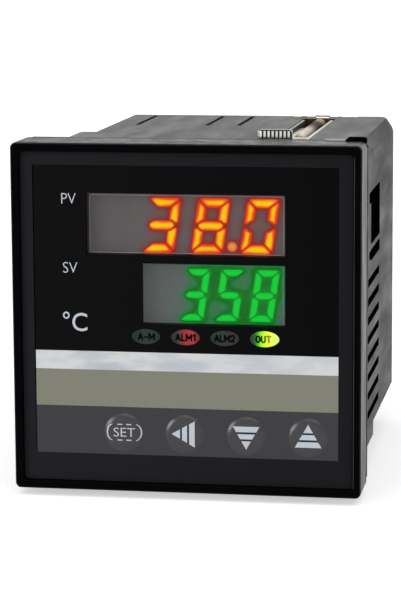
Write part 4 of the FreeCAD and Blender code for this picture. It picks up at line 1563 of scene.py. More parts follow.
@dataclass
class Display:
    """One reading: its face, bars, pane and the line round the pane that is a painted highlight of its edge.
    """

    name: str
    text: str
    digit: Point2
    bar: float
    pitch: float
    centre: Point2
    lit: Glow
    face: DisplayFace
    unlit: DisplayFace
    reach: float
    # the painted edge highlight round the pane: its outer ends along X and Z, and its finish
    line_x: Range
    line_z: Range
    highlight_look: Plastic
    point: Glow | None = None
    point_radius: float = 1.42
    point_height: float = 1.95
    rounding: float = 0.75
    line: float = 0.16
    line_corner: float = 1.0
    open_line: bool = False
    lean: float = math.tan(math.radians(8.5))
    break_width: float = 0.14
    cell: float = 0.32
    full: float = 1.6
    line_lift: float = 0.02
    line_depth: float = 0.05
    lit_outlines: list[list[Point2]] = field(default_factory=list)

    def build(self) -> None:
        """Build the whole reading."""
        self.bars()
        self.glowing_face()
        self.ghosts()
        self.pane()

    def digits(self) -> list[tuple[str, float]]:
        """Each digit with the place of its centre along X."""
        characters = self.text.replace(".", "")
        return list(zip(characters, spaced(self.centre[0], self.pitch, len(characters))))

    def bar_outline(self, bar: str) -> tuple[list[Point2], tuple[Point2, Point2]]:
        """Shape of one bar of an upright digit, about the digit's centre.

        Args:
            bar: The bar's letter.

        Returns:
            Its outline, and the ends of its middle line.
        """
        # half width and height of the digit, width of the bar, half of the break between two bars
        w, h, t, s = self.digit[0] / 2.0, self.digit[1] / 2.0, self.bar, self.break_width
        if bar in "ad":
            points = [(-w + t + s, h - t), (w - t - s, h - t), (w - 0.08 * t - s, h - 0.2 * t),
                      (w - 0.3 * t - s, h), (-w + 0.3 * t + s, h), (-w + 0.08 * t + s, h - 0.2 * t)]
            spine = ((-w + t, h - t / 2), (w - t, h - t / 2))
        elif bar == "g":
            tip, shoulder = w - 0.18 * t - s, w - 0.68 * t - s
            points = [(-tip, 0.0), (-shoulder, -t / 2), (shoulder, -t / 2),
                      (tip, 0.0), (shoulder, t / 2), (-shoulder, t / 2)]
            spine = ((-shoulder, 0.0), (shoulder, 0.0))
        else:
            points = [(w, 0.18 * t + s), (w, h - 0.5 * t - s), (w - 0.15 * t, h - 0.25 * t - s),
                      (w - t, h - t - s), (w - t, t / 2 + s), (w - 0.65 * t, t / 2 + 0.6 * s),
                      (w - 0.36 * t - 0.6 * s, 0.18 * t + s)]
            spine = ((w - t / 2, t * 0.75), (w - t / 2, h - t))
        flip_x, flip_z = (-1.0 if bar in "ef" else 1.0), (-1.0 if bar in "cde" else 1.0)
        placed = [(x * flip_x, z * flip_z) for x, z in points]
        if flip_x * flip_z < 0:
            placed.reverse()
        return placed, tuple((x * flip_x, z * flip_z) for x, z in spine)

    def slanted(self, points: Sequence[Point2], x: float) -> list[Point2]:
        """Points of an upright digit leant over and moved to its place."""
        return [(x + a + self.lean * b, self.centre[1] + b) for a, b in points]

    def bars(self) -> None:
        """Build the lit bars and the point."""
        node = self.name + "_lit_bars"
        low, high = span(node)
        bars, points = Shape(), Shape()
        digits = self.digits()
        for character, x in digits:
            for bar in LIT[character]:
                outline, spine = self.bar_outline(bar)
                edge = eased(self.slanted(outline, x), self.rounding)
                self.lit_outlines.append(edge)
                self.pillow(bars, edge, self.slanted(spine, x), low.y, high.y - low.y)
        bars.piece(self.name + "_bars", Body.CHASSIS, [self.lit], [node], attribute=CORE)
        if self.point:
            x = digits[self.text.index(".") - 1][1] + self.pitch / 2.0
            drop = self.point_height - self.digit[1] / 2.0
            spot = (x + self.lean * drop, self.centre[1] + drop)
            edge = circle(spot, self.point_radius, 28)
            self.lit_outlines.append(edge)
            self.pillow(points, edge, (spot, spot), low.y, high.y - low.y)
            points.piece(self.name + "_point", Body.CHASSIS, [self.point], attribute=CORE)

    def pillow(self, shape: Shape, edge: Sequence[Point2], spine: Sequence[Point2], y: float,
               depth: float) -> None:
        """Add a bar in rings, so that its value can rise from rim to core.

        Args:
            shape: Where it goes.
            edge: The bar's outline.
            spine: The ends of its middle line.
            y: Depth of its front.
            depth: How far it reaches in.
        """
        start, end = Vector(spine[0]), Vector(spine[1])
        along = end - start
        cores = []
        for point in edge:
            share = (Vector(point) - start).dot(along) / along.length_squared if along.length else 0.0
            cores.append(start + along * min(1.0, max(0.0, share)))
        shares = (0.0, 0.14, 0.28, 0.44, 0.62, 0.82)
        count = len(edge)
        points = [tuple(Vector(p) * (1 - t) + q * t) for t in shares for p, q in zip(edge, cores)]
        values = [t for t in shares for _ in edge]
        rings = [[ring * count + i for i in range(count)] for ring in range(len(shares))]
        faces = [(outer[i], outer[(i + 1) % count], inner[(i + 1) % count], inner[i])
                 for outer, inner in zip(rings, rings[1:]) for i in range(count)]
        shape.flat(points, y, depth, [*faces, tuple(rings[-1])], values)

    def glowing_face(self) -> None:
        """Build the display's body, whose face is lit round the bars."""
        node = self.name + "_display"
        low, high = span(node)
        size = high - low
        columns, rows = int(size.x / self.cell), int(size.z / self.cell)
        grid = [(low.x + size.x * i / columns, low.z + size.z * j / rows)
                for j in range(rows + 1) for i in range(columns + 1)]
        width = columns + 1
        starts = [j * width + i for j in range(rows) for i in range(columns)]
        faces = [(start, start + 1, start + width + 1, start + width) for start in starts]
        shape = Shape()
        shape.flat(grid, low.y, size.y, faces, self.nearness(grid))
        shape.piece(self.name + "_face", Body.CHASSIS, [self.face], [node], attribute=NEARNESS)

    def ghosts(self) -> None:
        """Build the bars that are not lit, faintly coloured by their lit neighbours."""
        node = self.name + "_dark_bars"
        low, high = span(node)
        shape = Shape()
        for character, x in self.digits():
            for bar in sorted(set("abcdefg") - set(LIT[character])):
                outline = eased(self.slanted(self.bar_outline(bar)[0], x), self.rounding)
                points, faces = refined(outline, [tuple(range(len(outline)))], 0.7)
                shape.flat(points, low.y, high.y - low.y, faces, self.nearness(points))
        shape.piece(self.name + "_unlit", Body.CHASSIS, [self.unlit], [node], attribute=NEARNESS)

    def nearness(self, places: Sequence[Point2]) -> list[float]:
        """How strongly the lit bars light each place.

        Args:
            places: The places.

        Returns:
            A value from 0 to 1 for each, where 1 stands for self.full bars at no distance.
        """
        grid = np.array(places)
        total = np.zeros(len(grid))
        for outline in self.lit_outlines:
            nearest = np.full(len(grid), np.inf)
            for first, second in zip(outline, outline[1:] + outline[:1]):
                a, edge = np.array(first), np.array(second) - np.array(first)
                length = float(edge @ edge)
                if length < 1e-12:
                    continue
                share = np.clip(((grid - a) @ edge) / length, 0.0, 1.0)
                nearest = np.minimum(nearest, np.linalg.norm(grid - a - share[:, None] * edge, axis=1))
            total += np.exp(-nearest / self.reach)
        return np.minimum(1.0, total / self.full).tolist()

    def pane(self) -> None:
        """Build the tinted pane, the thin line on it that paints its edge highlight, and where the line goes
        all round a dark strip at its left that paints shade.
        """
        node = self.name + "_window"
        softened(node, self.name + "_pane", Body.CHASSIS, [Palette.pane], 0.12)
        low = span(node)[0]
        y = low.y - self.line_lift
        inner_x = (self.line_x[0] + self.line, self.line_x[1] - self.line)
        inner_z = (self.line_z[0] + self.line, self.line_z[1] - self.line)
        shape = Shape()
        if self.open_line:
            shape.flat(rectangle((inner_x[1], self.line_x[1]), self.line_z), y, self.line_depth)
        else:
            outer = eased(rectangle(self.line_x, self.line_z), self.line_corner, 6)
            inner = eased(rectangle(inner_x, inner_z), self.line_corner - self.line, 6)
            count = len(outer)
            faces = [(i, (i + 1) % count, count + (i + 1) % count, count + i) for i in range(count)]
            shape.flat(outer + inner, y, self.line_depth, faces)
            # painted shade: a dark strip from the pane's left edge to the line
            shape.paint = 1
            shape.flat(rectangle((low.x + 0.05, self.line_x[0]), self.line_z), y, self.line_depth)
        shape.piece(self.name + "_pane_line", Body.CHASSIS, [self.highlight_look, Palette.pane_edge_shade])


@dataclass
class Indicator:
    """One oval indicator with its black name."""

    name: str
    text: str
    text_half: float
    text_shift: float
    slot: Slot
    body: Stops
    light: Stops
    text_height: float = 2.15
    stroke: float = 0.48
    rounding: float = 0.16
    ink: float = 0.012
    lit_name: bool = False

    def build(self) -> None:
        """Build the pane and its lettering."""
        node = self.name + "_indicator"
        low, high = span(node)
        centre = (low + high) / 2.0
        look = Lamp(self.slot, (low.x, high.x), self.body, self.light, self.name)
        softened(node, self.name + "_lamp_pane", Body.CHASSIS, [look], self.rounding, 3)
        dress(self.name + "_led", Palette.led)
        middle_x = centre.x + self.text_shift
        x = (middle_x - self.text_half, middle_x + self.text_half)
        z = (centre.z - self.text_height / 2.0, centre.z + self.text_height / 2.0)
        shape = Shape()
        for stroke in stroked(self.text, x, z, self.stroke):
            shape.flat(stroke, low.y - self.ink, self.ink)
        lit_ink = Lamp(Slot.BLACK, x, INK_BODY, INK_LIGHT, self.name + "_ink")
        shape.piece(self.name + "_name", Body.CHASSIS, [lit_ink if self.lit_name else Palette.lamp_ink])


@dataclass
class Key:
    """One embossed key with its printed sign."""

    name: str
    body: Body
    sign: KeySign
    cap_radius: float = 5.42
    shoulder: float = 1.35
    shoulder_rise: float = 0.45
    stem_radius: float = 1.8
    stem_length: float = 0.9
    collar_thickness: float = 0.85
    sunk: float = 0.02
    ink: float = 0.014
    sign_shift: float = 0.4

    def build(self) -> None:
        """Build the cap, its sign and its switch."""
        node = self.name + "_key"
        self.low, self.high = span(node)
        self.centre = (self.low + self.high) / 2.0
        self.film = span("print_key_field")[0].y + self.sunk
        self.cap(node)
        if self.sign is KeySign.SET:
            self.framed_word()
        else:
            self.arrow()
        dress(self.name + "_switch", Palette.switch)

    def depth(self, x: float, z: float) -> float:
        """Depth of the cap's face at a point.

        Args:
            x: The point's place along X.
            z: Its place along Z.

        Returns:
            Its place along Y.
        """
        away = min(self.cap_radius, math.hypot(x - self.centre.x, z - self.centre.z))
        inner = self.cap_radius - self.shoulder
        crown = self.film - self.low.y
        dome = crown - self.shoulder_rise
        if away <= inner:
            return self.film - self.shoulder_rise - dome * (1.0 - (away / inner) ** 2)
        share = (self.cap_radius - away) / self.shoulder
        return self.film - self.shoulder_rise * math.sin(share * math.pi / 2.0)

    def cap(self, node: str) -> None:
        """Build the cap with the collar and stem behind it.

        Args:
            node: The CAD node.
        """
        collar_radius = (self.high.x - self.low.x) / 2.0
        rear = self.high.y
        collar_rear = rear - self.stem_length
        collar_front = collar_rear - self.collar_thickness
        inner = self.cap_radius - self.shoulder
        rings = [inner * k / 10 for k in range(1, 11)] + [inner + self.shoulder * k / 8 for k in range(1, 9)]
        profile = [(0.05, self.depth(self.centre.x, self.centre.z))]
        profile += [(radius, self.depth(self.centre.x + radius, self.centre.z)) for radius in rings]
        profile += [(self.cap_radius, collar_front), (collar_radius, collar_front),
                    (collar_radius, collar_rear), (self.stem_radius, collar_rear),
                    (self.stem_radius, rear), (0.05, rear)]
        shape = Shape()
        shape.turned(profile, (self.centre.x, 0.0, self.centre.z), Axis.Y, 72)
        shape.piece(self.name + "_cap", self.body, [Palette.key], [node], smooth=50.0)

    def print_sign(self, parts: Iterable[tuple[Sequence[Point2], Sequence[Face]]], name: str, look: Look,
                   lift: float) -> None:
        """Lay flat shapes on the dome.

        Args:
            parts: Points and faces of each.
            name: Last part of the piece's name.
            look: Their finish.
            lift: How far they stand off the dome.
        """
        shape = Shape()
        for points, faces in parts:
            fine, cut = refined(points, faces, 0.8)
            shape.slab(fine, cut, lambda a, b: self.depth(a, b) - lift, self.ink * 0.8)
        shape.piece(f"{self.name}_{name}", self.body, [look])

    def arrow(self) -> None:
        """Print the arrow: a point and two bars that grow away from it."""
        half, length = 3.65, 6.4
        cuts = ((0.0, 0.365), (0.45, 0.67), (0.757, 1.0))
        ahead = length / 2.0 + self.sign_shift

        def placed(along: float, across: float) -> Point2:
            """Find a point of the arrow.

            Args:
                along: Its distance behind the tip.
                across: Its distance from the middle line.

            Returns:
                Its place along X and Z.
            """
            if self.sign is KeySign.LEFT:
                return self.centre.x - ahead + along, self.centre.z + across + 0.2
            if self.sign is KeySign.UP:
                return self.centre.x + across, self.centre.z + ahead - along + 0.25
            return self.centre.x - across, self.centre.z - ahead + along

        parts = []
        for first, last in cuts:
            a, b = first * length, last * length
            corners = [placed(a, -half * first), placed(b, -half * last), placed(b, half * last)]
            if first > 0.0:
                corners.append(placed(a, half * first))
            parts.append((corners, [tuple(range(len(corners)))]))
        ground = [placed(0.34 * length, -half * 0.30), placed(0.80 * length, -half * 0.76),
                  placed(0.80 * length, half * 0.76), placed(0.34 * length, half * 0.30)]
        self.print_sign([(ground, [(0, 1, 2, 3)])], "sign_ground", Palette.sign_ground, self.ink)
        self.print_sign(parts, "sign", Palette.ink, self.ink * 2.0)

    def framed_word(self) -> None:
        """Print the word SET between two arcs and four dashes."""
        x, z = self.centre.x + 0.2, self.centre.z + 0.22
        points, faces = lettering("SET", (x - 3.0, x + 3.0), (z - 1.25, z + 1.25), -0.006)
        parts = [(points, faces)]
        for side in (-1.0, 1.0):
            parts.append(self.arc((x, z), side))
            for row in (-1.0, 1.0):
                middle_x, middle_z = x + side * 1.25, z + row * 2.2
                dash = rectangle((middle_x - 0.72, middle_x + 0.72), (middle_z - 0.15, middle_z + 0.15))
                parts.append((dash, [(0, 1, 2, 3)]))
        self.print_sign(parts, "sign", Palette.ink, self.ink)

    def arc(self, centre: Point2, side: float) -> tuple[list[Point2], list[Face]]:
        """One bracket of the frame, a thick arc beside the word.

        Args:
            centre: Centre of the word.
            side: -1 on the left, 1 on the right.

        Returns:
            Points and faces.
        """
        reach, rise, stroke, steps = 1.95, 2.4, 0.40, 14
        start = centre[0] + side * (self.cap_radius - 0.45 - reach)
        turns = [math.radians(-80.0 + 160.0 * k / steps) for k in range(steps + 1)]
        points = [(start + side * (reach - inset) * math.cos(t),
                   centre[1] + (rise - inset * 0.5) * math.sin(t)) for inset in (0.0, stroke) for t in turns]
        count = steps + 1
        faces = [(i, i + 1, count + i + 1, count + i) for i in range(steps)]
        return points, faces


# ---- rear
@dataclass
class Rear:
    """Terminal block with its plates, screws, numbers and the edge sockets inside."""

    number_x: float = 21.6
    number_height: float = 2.3
    ink: float = 0.05

    def build(self) -> None:
        """Build everything at the back."""
        softened("terminal_block", "rear_block", Body.HOUSING, [Palette.terminal], 0.22)
        for side in ("left", "right"):
            softened(side + "_terminals", side + "_plates", Body.HOUSING, [Palette.brass], 0.09, 1)
            softened(side + "_terminal_screws", side + "_wire_screws", Body.HOUSING, [Palette.steel], 0.28, 3)
            softened(side + "_edge_socket", side + "_socket", Body.HOUSING, [Palette.socket], 0.2)
        self.numbers()

    def numbers(self) -> None:
        """Mould the terminal numbers beside the screws."""
        face = span("terminal_block")[1].y - 0.7
        shape = Shape()
        rows = spaced(0.0, TERMINAL_PITCH, TERMINAL_COUNT)[::-1]
        for column, middle_x in enumerate((-self.number_x, self.number_x)):
            for i, z in enumerate(rows):
                text = str(1 + i + column * TERMINAL_COUNT)
                half = 0.5 if text == "1" else 0.72 * len(text)
                points, faces = lettering(text, (middle_x - half, middle_x + half),
                                          (z - self.number_height / 2.0, z + self.number_height / 2.0))
                shape.slab(points, faces, lambda a, b: face + self.ink, self.ink, rear_facing=True)
        shape.piece("terminal_numbers", Body.HOUSING, [Palette.ink])


# ---- inside
@dataclass
class Chassis:
    """The boards that draw out with the bezel, and what stands on them."""

    leg: float = 0.35
    leg_room: Vector = field(default_factory=lambda: Vector((0.9, 0.9, 0.9)))
    solder_radius: float = 0.75
    solder_height: float = 0.8

    def build(self) -> None:
        """Build boards, parts and solder."""
        for node in ("display_board", "main_board", "power_board"):
            dress(node, Palette.board)
        softened("board_screws", "board_fixings", Body.CHASSIS, [Palette.steel], 0.2)
        for side in ("main", "power"):
            self.header(side)
        self.transformer()
        for name in ("output", "alarm_1", "alarm_2"):
            self.relay(name + "_relay")
        self.can("reservoir_capacitor", Axis.X)
        self.can("filter_capacitor", Axis.LEFT)
        self.chip("processor", 11, 4)
        self.chip("converter", 4, 2)
        self.contacts()
        self.small_parts()
        self.solder()

    def header(self, side: str) -> None:
        """Build a pin header with its two rows of pins.

        Args:
            side: The board it stands on, main or power.
        """
        node = side + "_header"
        low, high = span(node)
        softened(node, side + "_header_body", Body.CHASSIS, [Palette.header], 0.2)
        inwards = -1.0 if side == "main" else 1.0
        face = low.x if side == "main" else high.x
        shape = Shape()
        for z in spaced((low.z + high.z) / 2.0, PIN_PITCH, PIN_COUNT):
            for y in (low.y + PIN_INSET, high.y - PIN_INSET):
                ends = sorted((face - inwards * 0.6, face + inwards * 0.8))
                shape.block((ends[0], y - 0.3, z - 0.3), (ends[1], y + 0.3, z + 0.3), 0.08, 1)
        shape.piece(side + "_header_pins", Body.CHASSIS, [Palette.brass])

    def transformer(self) -> None:
        """Build the laminated core, the taped winding and its bobbin."""
        softened("transformer_core", "transformer_stack", Body.CHASSIS, [Palette.core], 0.15, 1)
        softened("transformer_coil", "transformer_winding", Body.CHASSIS, [Palette.tape], 1.1, 3)
        low, high = span("transformer_coil")
        shape = Shape()
        for z in (low.z, high.z - 0.8):
            for x in ((low.x, low.x + 2.6), (high.x - 2.6, high.x)):
                shape.block((x[0], low.y - 0.1, z - 0.05), (x[1], high.y + 0.1, z + 0.85), 0.2)
        shape.piece("transformer_bobbin", Body.CHASSIS, [Palette.socket])

    def relay(self, node: str) -> None:
        """Build a sealed relay with its base seam and vent nub.

        Args:
            node: The CAD node.
        """
        low, high = span(node)
        shape = Shape()
        seam = low.x + 1.6
        shape.block(low, (seam, high.y, high.z), 0.25)
        shape.block((seam - 0.3, low.y + 0.15, low.z + 0.15), (high.x, high.y - 0.15, high.z - 0.15), 0.8, 3)
        shape.turned([(1.1, -0.5), (1.1, -0.12), (0.8, 0.0)], (high.x, low.y + 3.0, low.z + 3.0), Axis.X, 20)
        shape.piece(node + "_case", Body.CHASSIS, [Palette.relay], [node])

    def can(self, node: str, axis: Axis) -> None:
        """Build an upright capacitor: sleeve with a pale stripe, crimp and bare top.

        Args:
            node: The CAD node.
            axis: The way it stands.
        """
        low, high = span(node)
        radius, height = (high.y - low.y) / 2.0, high.x - low.x
        base = low.x if axis is Axis.X else high.x
        centre = (base, (low.y + high.y) / 2.0, (low.z + high.z) / 2.0)
        steps = 48
        crimp = height * 0.12
        sleeve = [(radius * 0.9, 0.0), (radius - 0.1, 0.25), (radius, 0.7), (radius, crimp - 0.7),
                  (radius - 0.55, crimp), (radius, crimp + 0.7), (radius, height - 0.8),
                  (radius - 0.12, height - 0.3), (radius - 0.45, height), (radius - 0.75, height - 0.12)]
        shape = Shape()
        shape.turned(sleeve, centre, axis, steps, lambda k: 1 if k < steps // 8 else 0)
        shape.paint = 2
        top = [(radius - 0.7, height - 0.5), (radius - 0.7, height - 0.08), (0.5, height - 0.04)]
        shape.turned(top, centre, axis, steps)
        looks = [Palette.can, Palette.stripe, Palette.aluminium]
        shape.piece(node + "_can", Body.CHASSIS, looks, [node], smooth=50.0)

    def chip(self, node: str, legs: int, sides: int) -> None:
        """Build a chip's body, its marker dimple and its bent legs.

        Args:
            node: The CAD node.
            legs: Legs along each side.
            sides: 4 for legs all round, 2 for legs along the two long sides.
        """
        low, high = span(node)
        body, feet = Shape(), Shape()
        first, last = low + self.leg_room, high - self.leg_room
        body.block((low.x, first.y, first.z), (high.x - 0.1, last.y, last.z), 0.22)
        dimple = (low.x, low.y + 2.1, high.z - 2.1)
        body.paint = 1
        body.turned([(0.5, -0.02), (0.5, 0.02)], dimple, Axis.X, 20)
        pitch = (high.z - low.z - 2.6) / (legs - 1)
        for z in spaced((low.z + high.z) / 2.0, pitch, legs):
            for edge, out in ((first.y, -1.0), (last.y, 1.0)):
                self.foot(feet, high.x, (edge, z), out, True)
        if sides == 4:
            for y in spaced((low.y + high.y) / 2.0, pitch, legs):
                for edge, out in ((first.z, -1.0), (last.z, 1.0)):
                    self.foot(feet, high.x, (y, edge), out, False)
        body.piece(node + "_package", Body.CHASSIS, [Palette.chip, Palette.header], [node])
        feet.piece(node + "_legs", Body.CHASSIS, [Palette.steel])

    def foot(self, shape: Shape, board: float, root: Point2, out: float, along_y: bool) -> None:
        """Add one bent leg: shoulder, drop and toe.

        Args:
            shape: Where it goes.
            board: The board's face along X.
            root: Where the leg leaves the body, along Y and Z.
            out: The way it points, -1 or 1.
            along_y: True where it points along Y, False along Z.
        """
        half = self.leg / 2.0
        runs = (((0.0, 0.3), (0.72, 0.9)), ((0.22, 0.4), (0.1, 0.9)), ((0.3, 0.85), (0.02, 0.2)))
        for (near, far), (bottom, top) in runs:
            first, second = sorted((out * near, out * far))
            x = (board - top, board - bottom)
            if along_y:
                low, high = (x[0], root[0] + first, root[1] - half), (x[1], root[0] + second, root[1] + half)
            else:
                low, high = (x[0], root[0] - half, root[1] + first), (x[1], root[0] + half, root[1] + second)
            shape.block(low, high, 0.05, 1)

    def contacts(self) -> None:
        """Build the gilt contacts at the rear edge of both side boards."""
        shape = Shape()
        for side, inwards in (("main", -1.0), ("power", 1.0)):
            low, high = span(side + "_board")
            face = low.x if side == "main" else high.x
            for z in spaced(0.0, TERMINAL_PITCH, TERMINAL_COUNT):
                for half_width, front in ((1.3, high.y - 7.2), (0.5, high.y - 12.0)):
                    x = sorted((face + inwards * 0.05, face - inwards * 0.05))
                    shape.block((x[0], front, z - half_width), (x[1], high.y - 0.3, z + half_width), 0.02, 1)
        shape.piece("edge_contacts", Body.CHASSIS, [Palette.gilt])

    def small_parts(self) -> None:
        """Build resistors and little capacitors on both side boards."""
        ends, bodies = Shape(), Shape()
        low, high = span("main_board")
        for row, z in enumerate((-30.0, -14.0, 10.0, 16.0, 28.0)):
            for i in range(6):
                y = low.y + 14.0 + 5.2 * i + 1.7 * (row % 2)
                self.brick(ends, bodies, low.x, (y, z), -1.0)
        low, high = span("power_board")
        for i in range(5):
            self.brick(ends, bodies, high.x, (8.0 + 4.2 * i, 33.4), 1.0)
        ends.piece("brick_ends", Body.CHASSIS, [Palette.steel])
        bodies.piece("brick_bodies", Body.CHASSIS, [Palette.chip])
        self.axial_parts(high.x)

    def brick(self, ends: Shape, bodies: Shape, face: float, place: Point2, inwards: float) -> None:
        """Add one soldered brick part with bright ends.

        Args:
            ends: Where its ends go.
            bodies: Where its body goes.
            face: The board's face along X.
            place: Its middle along Y and Z.
            inwards: The way it stands on the board, -1 or 1.
        """
        y, z = place
        x = sorted((face, face + inwards * 0.6))
        bodies.block((x[0], y - 0.7, z - 0.6), (x[1], y + 0.7, z + 0.6), 0.08, 1)
        for first, last in ((-1.0, -0.65), (0.65, 1.0)):
            tall = sorted((face, face + inwards * 0.65))
            ends.block((tall[0], y + first, z - 0.65), (tall[1], y + last, z + 0.65), 0.1, 1)

    def axial_parts(self, face: float) -> None:
        """Build three banded resistors lying on the power board.

        Args:
            face: The board's face along X.
        """
        shape = Shape()
        bands = (2, 1, 3)
        for i, y in enumerate((34.0, 39.0, 44.0)):
            centre = (face + 1.75, y, 12.0 + 2.0 * i)
            ends = [(0.3, 0.0), (0.3, 1.6), (1.1, 2.0), (1.3, 2.6), (1.3, 3.2)]
            shape.paint = 0
            shape.turned(ends, centre, Axis.Z, 20)
            for k in range(4):
                shape.paint = bands[(i + k) % 3] if k else 0
                shape.turned([(1.15, 3.1 + 1.1 * k), (1.15, 3.9 + 1.1 * k)], centre, Axis.Z, 20)
                shape.paint = 0
                shape.turned([(1.1, 3.9 + 1.1 * k), (1.1, 4.2 + 1.1 * k)], centre, Axis.Z, 20)
            shape.turned([(1.3, 7.4), (1.3, 8.0), (1.1, 8.6), (0.3, 9.0), (0.3, 10.6)], centre, Axis.Z, 20)
        looks = [Palette.socket, Palette.relay, Palette.gilt, Palette.chip]
        shape.piece("banded_resistors", Body.CHASSIS, looks)

    def solder(self) -> None:
        """Build the solder cones on the outer faces of the side boards."""
        shape = Shape()
        places = {"power": [], "main": []}
        for node in ("output_relay", "alarm_1_relay", "alarm_2_relay"):
            low, high = span(node)
            places["power"] += [(y, z) for y in (low.y + 2.0, high.y - 2.0)
                                for z in (low.z + 2.5, high.z - 2.5)]
        low, high = span("transformer_coil")
        places["power"] += [(y, z) for y in (low.y + 1.5, high.y - 1.5)
                            for z in spaced((low.z + high.z) / 2.0, 5.0, 3)]
        for node, side in (("reservoir_capacitor", "power"), ("filter_capacitor", "main")):
            centre = middle(node)
            places[side] += [(centre.y - 1.8, centre.z), (centre.y + 1.8, centre.z)]
        for side in places:
            low, high = span(side + "_header")
            places[side] += [(y, z) for y in (low.y + PIN_INSET, high.y - PIN_INSET)
                             for z in spaced(0.0, PIN_PITCH, PIN_COUNT)]
        cone = [(self.solder_radius, -0.03), (self.solder_radius * 0.8, 0.12),
                (self.solder_radius * 0.4, self.solder_height * 0.6), (0.2, self.solder_height)]
        for side, axis in (("power", Axis.LEFT), ("main", Axis.X)):
            low, high = span(side + "_board")
            face = low.x if side == "power" else high.x
            for y, z in places[side]:
                shape.turned(cone, (face, y, z), axis, 12)
        shape.piece("solder_joints", Body.CHASSIS, [Palette.steel], smooth=60.0)


# ---- studio
@dataclass
class Studio:
    """Pale floor, soft light and the camera."""

    floor_reach: float = 6.0
    floor_colour: Colour = (0.90, 0.90, 0.90)
    floor_lift: float = 0.52
    sky: float = 0.40
    camera_place: Point3 = (0.1144, -0.6666, 0.1117)
    camera_turn: float = 9.654
    camera_tilt: float = -9.177
    camera_roll: float = -0.331
    lens: float = 147.3

    def build(self) -> None:
        """Set the stage."""
        bpy.context.scene.view_settings.view_transform = "Standard"
        self.floor()
        self.world()
        self.sun("side_light", (0.72, 0.66, -0.12), 1.39, 30.0)
        self.sun("top_light", (-0.10, 0.45, -0.90), 1.1, 70.0)
        self.camera()

    def backdrop(self, graph: Graph) -> Socket:
        """Tell the rays that show the backdrop, directly, mirrored or through glass.

        Args:
            graph: The node tree that asks.

        Returns:
            1 for such rays, 0 for the others.
        """
        rays = graph.node("LightPath").outputs
        seen = graph.math("MAXIMUM", rays["Is Camera Ray"], rays["Is Glossy Ray"])
        return graph.math("MAXIMUM", seen, rays["Is Transmission Ray"])

    def floor(self) -> None:
        """Lay the floor under the object's lowest point."""
        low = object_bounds()[0].z - 0.02 * MM
        graph = Graph(bpy.data.materials.new("floor_paper"), "OutputMaterial")
        plain = graph.node("BsdfDiffuse", {"Color": self.floor_colour})
        light = graph.node("Emission", {"Color": (1.0, 1.0, 1.0), "Strength": self.floor_lift})
        lifted = graph.node("AddShader", {0: plain.outputs[0], 1: light.outputs[0]})
        sides = {0: self.backdrop(graph), 1: plain.outputs[0], 2: lifted.outputs[0]}
        graph.close(graph.node("MixShader", sides))
        mesh = bpy.data.meshes.new("floor")
        reach = (-self.floor_reach, self.floor_reach)
        mesh.from_pydata([(x, y, low) for x, y in rectangle(reach, reach)], [], [(0, 1, 2, 3)])
        mesh.materials.append(graph.owner)
        floor = bpy.data.objects.new("floor", mesh)
        bpy.context.scene.collection.objects.link(floor)
        floor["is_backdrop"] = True

    def world(self) -> None:
        """Make a soft white sky, full white where it is seen or mirrored."""
        world = bpy.data.worlds.new("sky")
        graph = Graph(world, "OutputWorld")
        soft, full = (graph.node("Background", {"Color": (1.0, 1.0, 1.0), "Strength": strength}).outputs[0]
                      for strength in (self.sky, 1.0))
        graph.close(graph.node("MixShader", {0: self.backdrop(graph), 1: soft, 2: full}))
        bpy.context.scene.world = world

    def sun(self, name: str, heading: Point3, strength: float, angle: float) -> None:
        """Add a broad, even light.

        Args:
            name: Its name.
            heading: The way its light travels.
            strength: Irradiance.
            angle: How wide it looks, in degrees.
        """
        data = bpy.data.lights.new(name, "SUN")
        data.energy = strength
        data.angle = math.radians(angle)
        lamp = bpy.data.objects.new(name, data)
        lamp.rotation_euler = Vector(heading).to_track_quat("-Z", "Y").to_euler()
        bpy.context.scene.collection.objects.link(lamp)

    def camera(self) -> None:
        """Set up the camera."""
        data = bpy.data.cameras.new("camera")
        data.lens = self.lens
        data.clip_start, data.clip_end = 0.01, 50.0
        holder = bpy.data.objects.new("camera", data)
        turn = Matrix.Rotation(math.radians(self.camera_turn), 4, "Z")
        tilt = Matrix.Rotation(math.radians(90.0 + self.camera_tilt), 4, "X")
        roll = Matrix.Rotation(math.radians(self.camera_roll), 4, "Z")
        holder.matrix_world = Matrix.Translation(self.camera_place) @ turn @ tilt @ roll
        bpy.context.scene.collection.objects.link(holder)
        bpy.context.scene.camera = holder


# ---- the whole controller
RED_GLOW = scale((0.0, 222, 44, 20), (0.12, 250, 72, 14), (0.28, 255, 124, 12), (0.52, 252, 196, 6),
                 (1.0, 240, 225, 4))
POINT_GLOW = scale((0.0, 190, 80, 66), (0.35, 246, 118, 76), (0.75, 228, 165, 58), (1.0, 226, 175, 58))
GREEN_GLOW = scale((0.0, 6, 172, 44), (0.22, 8, 206, 56), (1.0, 2, 220, 54))
